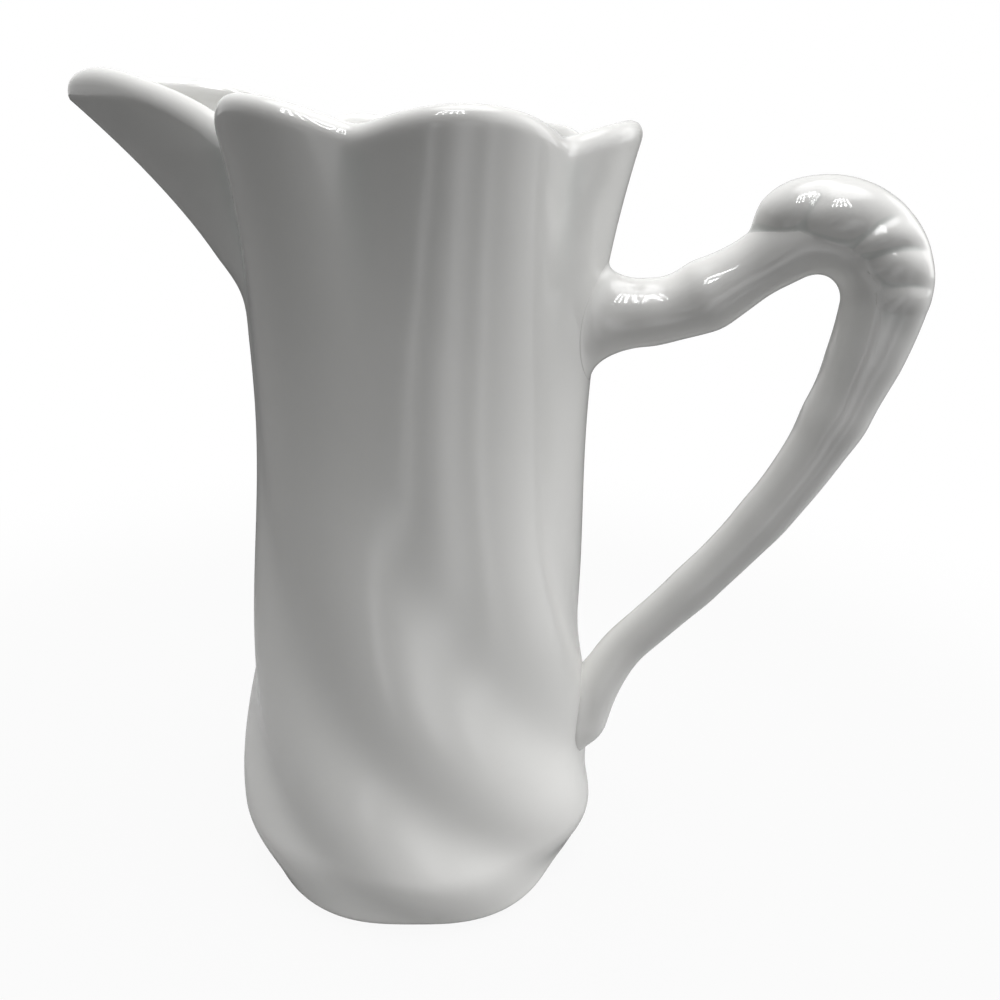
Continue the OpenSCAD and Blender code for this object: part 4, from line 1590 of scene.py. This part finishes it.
@dataclass
class Studio:
    """The pale floor, the soft light and the camera at the photograph's angle."""

    # Camera, in millimetres in the part's frame, with the lens for a square picture
    eye: Point = (69.335, -266.411, 213.288)
    forward: Point = (-0.15834, 0.92596, -0.34284)
    up: Point = (-0.09065, 0.33212, 0.93887)
    focal_px: float = 985.34
    picture_px: float = 1000.0
    sensor: float = 36.0

    # World: an even light, and the ceiling, a window to the right and a doorway to the left
    room: float = 0.03
    glows: tuple[Glow, ...] = (
        Glow((0.12, -0.05, 1.0), (0.84, 0.97), 4.9), Glow((1.0, 0.0, 0.0), (0.4, 0.95), 1.3),
        Glow((-0.8, 0.55, 0.25), (0.2, 0.95), 0.9),
    )

    # Floor, in metres from the ewer's axis; bounced light sees a painted pool of light, pale near and dark
    # beyond
    floor_half: float = 4.0
    floor_rough: float = 0.9
    lit_pool: Colour = (0.4, 0.4, 0.4, 1.0)
    unlit_floor: Colour = (0.08, 0.08, 0.08, 1.0)
    lit_pool_r: Span = (0.1, 0.28)
    floor_glow: float = 0.93
    # Painted reflections: floor strips that glow only in the glaze's reflections
    sheens: tuple[Sheen, ...] = (
        Sheen(-94.0, 5.0, 1.0), Sheen(-64.0, 12.0, 1.6), Sheen(-36.0, 7.0, 1.0), Sheen(15.0, 30.0, 0.8),
    )
    sheen_r: Span = (0.15, 0.3)
    shadow_r: Span = (0.08, 0.4)

    # Panels, in metres and watts: a window pane, and a row of strips that only the glaze mirrors
    aim: Point = (0.0, 0.0, 0.13)
    pane: Point = (0.9, 0.5, 0.5)
    pane_size: Span = (0.5, 0.8)
    pane_watts: float = 1.5
    strip_row: tuple[float, ...] = (-0.16, -0.04, 0.08, 0.2, 0.32)
    strip_y: float = -0.75
    strip_z: float = 1.1
    strip_size: Span = (0.04, 0.6)
    strip_watts: float = 2.0

    def place_camera(self) -> None:
        """Make the camera."""
        data = bpy.data.cameras.new("camera")
        data.sensor_width = self.sensor
        data.lens = self.focal_px * self.sensor / self.picture_px
        data.clip_start = 0.01
        data.clip_end = 50.0
        camera = bpy.data.objects.new("camera", data)
        back = -Vector(self.forward).normalized()
        right = Vector(self.up).cross(back).normalized()
        up = back.cross(right)
        turn = Matrix((right, up, back)).transposed().to_4x4()
        camera.matrix_world = Matrix.Translation(Vector(self.eye) * MM) @ turn
        bpy.context.collection.objects.link(camera)
        bpy.context.scene.camera = camera

    def lay_floor(self) -> None:
        """Lay a floor white to the camera, with its shadow, a painted light pool and painted reflections."""
        h = self.floor_half
        mesh = bpy.data.meshes.new("floor")
        mesh.from_pydata([(-h, -h, 0), (h, -h, 0), (h, h, 0), (-h, h, 0)], [], [(0, 1, 2, 3)])
        floor = bpy.data.objects.new("floor", mesh)
        bpy.context.collection.objects.link(floor)
        made, sketch, paper, place = start_material("floor_paper")
        away = sketch.add("ShaderNodeVectorMath", {0: place}, operation="LENGTH").outputs["Value"]
        # Painted pool of light: to bounced light the floor is pale near the ewer and dark beyond
        beyond = sketch.rise(away, *self.lit_pool_r)
        sketch.tree.links.new(sketch.mix(beyond, self.lit_pool, self.unlit_floor), paper.inputs["Base Color"])
        paper.inputs["Roughness"].default_value = self.floor_rough
        paper.inputs["Specular IOR Level"].default_value = 0.0
        glow = sketch.add("ShaderNodeEmission", {"Color": WHITE, "Strength": 1.0})
        ray = sketch.add("ShaderNodeLightPath")
        seen = sketch.math("MAXIMUM", ray.outputs["Is Camera Ray"], ray.outputs["Is Transmission Ray"])
        clear = sketch.rise(away, *self.shadow_r, least=self.floor_glow)
        share = sketch.math("MULTIPLY", seen, clear)
        both = sketch.add("ShaderNodeMixShader", {0: share, 1: paper.outputs[0], 2: glow.outputs[0]})
        # Painted reflections: strips on the floor that glow for glossy rays alone
        strips = self.floor_sheen(sketch, place, away)
        mirrored = sketch.math("MULTIPLY", strips, ray.outputs["Is Glossy Ray"])
        sheen = sketch.add("ShaderNodeEmission", {"Color": WHITE, "Strength": mirrored})
        total = sketch.add("ShaderNodeAddShader", {0: both.outputs[0], 1: sheen.outputs[0]})
        sketch.tree.links.new(total.outputs[0], made.node_tree.nodes["Material Output"].inputs["Surface"])
        mesh.materials.append(made)

    def floor_sheen(self, sketch: ShaderSketch, place: Socket, away: Socket) -> Socket:
        """Lay the soft glowing strips that only the glaze mirrors, painted reflections on the floor.

        Args:
            sketch: the floor's material.
            place: places on the floor.
            away: how far those places are from the ewer's axis.

        Returns:
            The strips' strength.
        """
        part = sketch.add("ShaderNodeSeparateXYZ", {0: place})
        turn = sketch.math("ARCTAN2", part.outputs["Y"], part.outputs["X"])
        total = 0.0
        for sheen in self.sheens:
            off = sketch.math("SUBTRACT", turn, math.radians(sheen.heading))
            share = sketch.math("DIVIDE", off, math.radians(sheen.width))
            square = sketch.math("MULTIPLY", share, share)
            bump = sketch.math("EXPONENT", sketch.math("MULTIPLY", square, -1.0))
            total = sketch.math("MULTIPLY_ADD", bump, sheen.strength, total)
        return sketch.math("MULTIPLY", total, sketch.rise(away, *self.sheen_r))

    def light_world(self) -> None:
        """Light the room: bright above, a window right, a doorway left, and white to the camera."""
        world = bpy.data.worlds.new("room")
        bpy.context.scene.world = world
        world.use_nodes = True
        sketch = ShaderSketch(world.node_tree)
        sky = world.node_tree.nodes["Background"]
        way = sketch.add("ShaderNodeTexCoord").outputs["Generated"]
        strength = self.room
        for glow in self.glows:
            agree = sketch.add("ShaderNodeVectorMath", {0: way, 1: Vector(glow.axis).normalized()},
                               operation="DOT_PRODUCT").outputs["Value"]
            strength = sketch.math("ADD", sketch.rise(agree, *glow.cap, glow.strength), strength)
        sketch.tree.links.new(strength, sky.inputs["Strength"])
        sky.inputs["Color"].default_value = WHITE
        white = sketch.add("ShaderNodeBackground", {"Color": WHITE, "Strength": 1.0})
        ray = sketch.add("ShaderNodeLightPath")
        seen = sketch.math("MAXIMUM", ray.outputs["Is Camera Ray"], ray.outputs["Is Transmission Ray"])
        both = sketch.add("ShaderNodeMixShader", {0: seen, 1: sky.outputs[0], 2: white.outputs[0]})
        sketch.tree.links.new(both.outputs[0], world.node_tree.nodes["World Output"].inputs["Surface"])

    def hang_panel(self, name: str, place: Point, size: Span, watts: float,
                   gloss_only: bool = False) -> None:
        """Hang one soft light panel.

        Args:
            name: its name.
            place: where it hangs, in metres.
            size: its width and height in metres.
            watts: its power.
            gloss_only: whether it shows in the glaze's reflections alone.
        """
        data = bpy.data.lights.new(name, "AREA")
        data.shape = "RECTANGLE"
        data.size, data.size_y = size
        data.energy = watts
        lamp = bpy.data.objects.new(name, data)
        lamp.visible_camera = False
        lamp.visible_diffuse = not gloss_only
        aim = (Vector(self.aim) - Vector(place)).to_track_quat("-Z", "Y")
        lamp.matrix_world = Matrix.Translation(place) @ aim.to_matrix().to_4x4()
        bpy.context.collection.objects.link(lamp)

    def build(self) -> None:
        """Set the picture up: colour handling, camera, floor and light."""
        bpy.context.scene.view_settings.view_transform = "Standard"
        self.place_camera()
        self.lay_floor()
        self.light_world()
        self.hang_panel("window", self.pane, self.pane_size, self.pane_watts)
        for k, x in enumerate(self.strip_row):
            place = (x, self.strip_y, self.strip_z)
            self.hang_panel(f"lamp_{k}", place, self.strip_size, self.strip_watts, gloss_only=True)


def main() -> None:
    """Load the frame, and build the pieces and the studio."""
    logging.basicConfig(level=logging.INFO, format="%(name)s: %(message)s")
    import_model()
    effects = Effects()
    glaze = GlazedPorcelain().material(effects)
    biscuit = DryBiscuit().material(effects)
    vessel = Vessel()
    vessel.build(glaze)
    vessel.join()
    ring = FootRing()
    ring.build(biscuit)
    ring.join()
    handle = Handle()
    handle.build(vessel, glaze)
    handle.join()
    Studio().build()


if __name__ == "__main__":
    main()
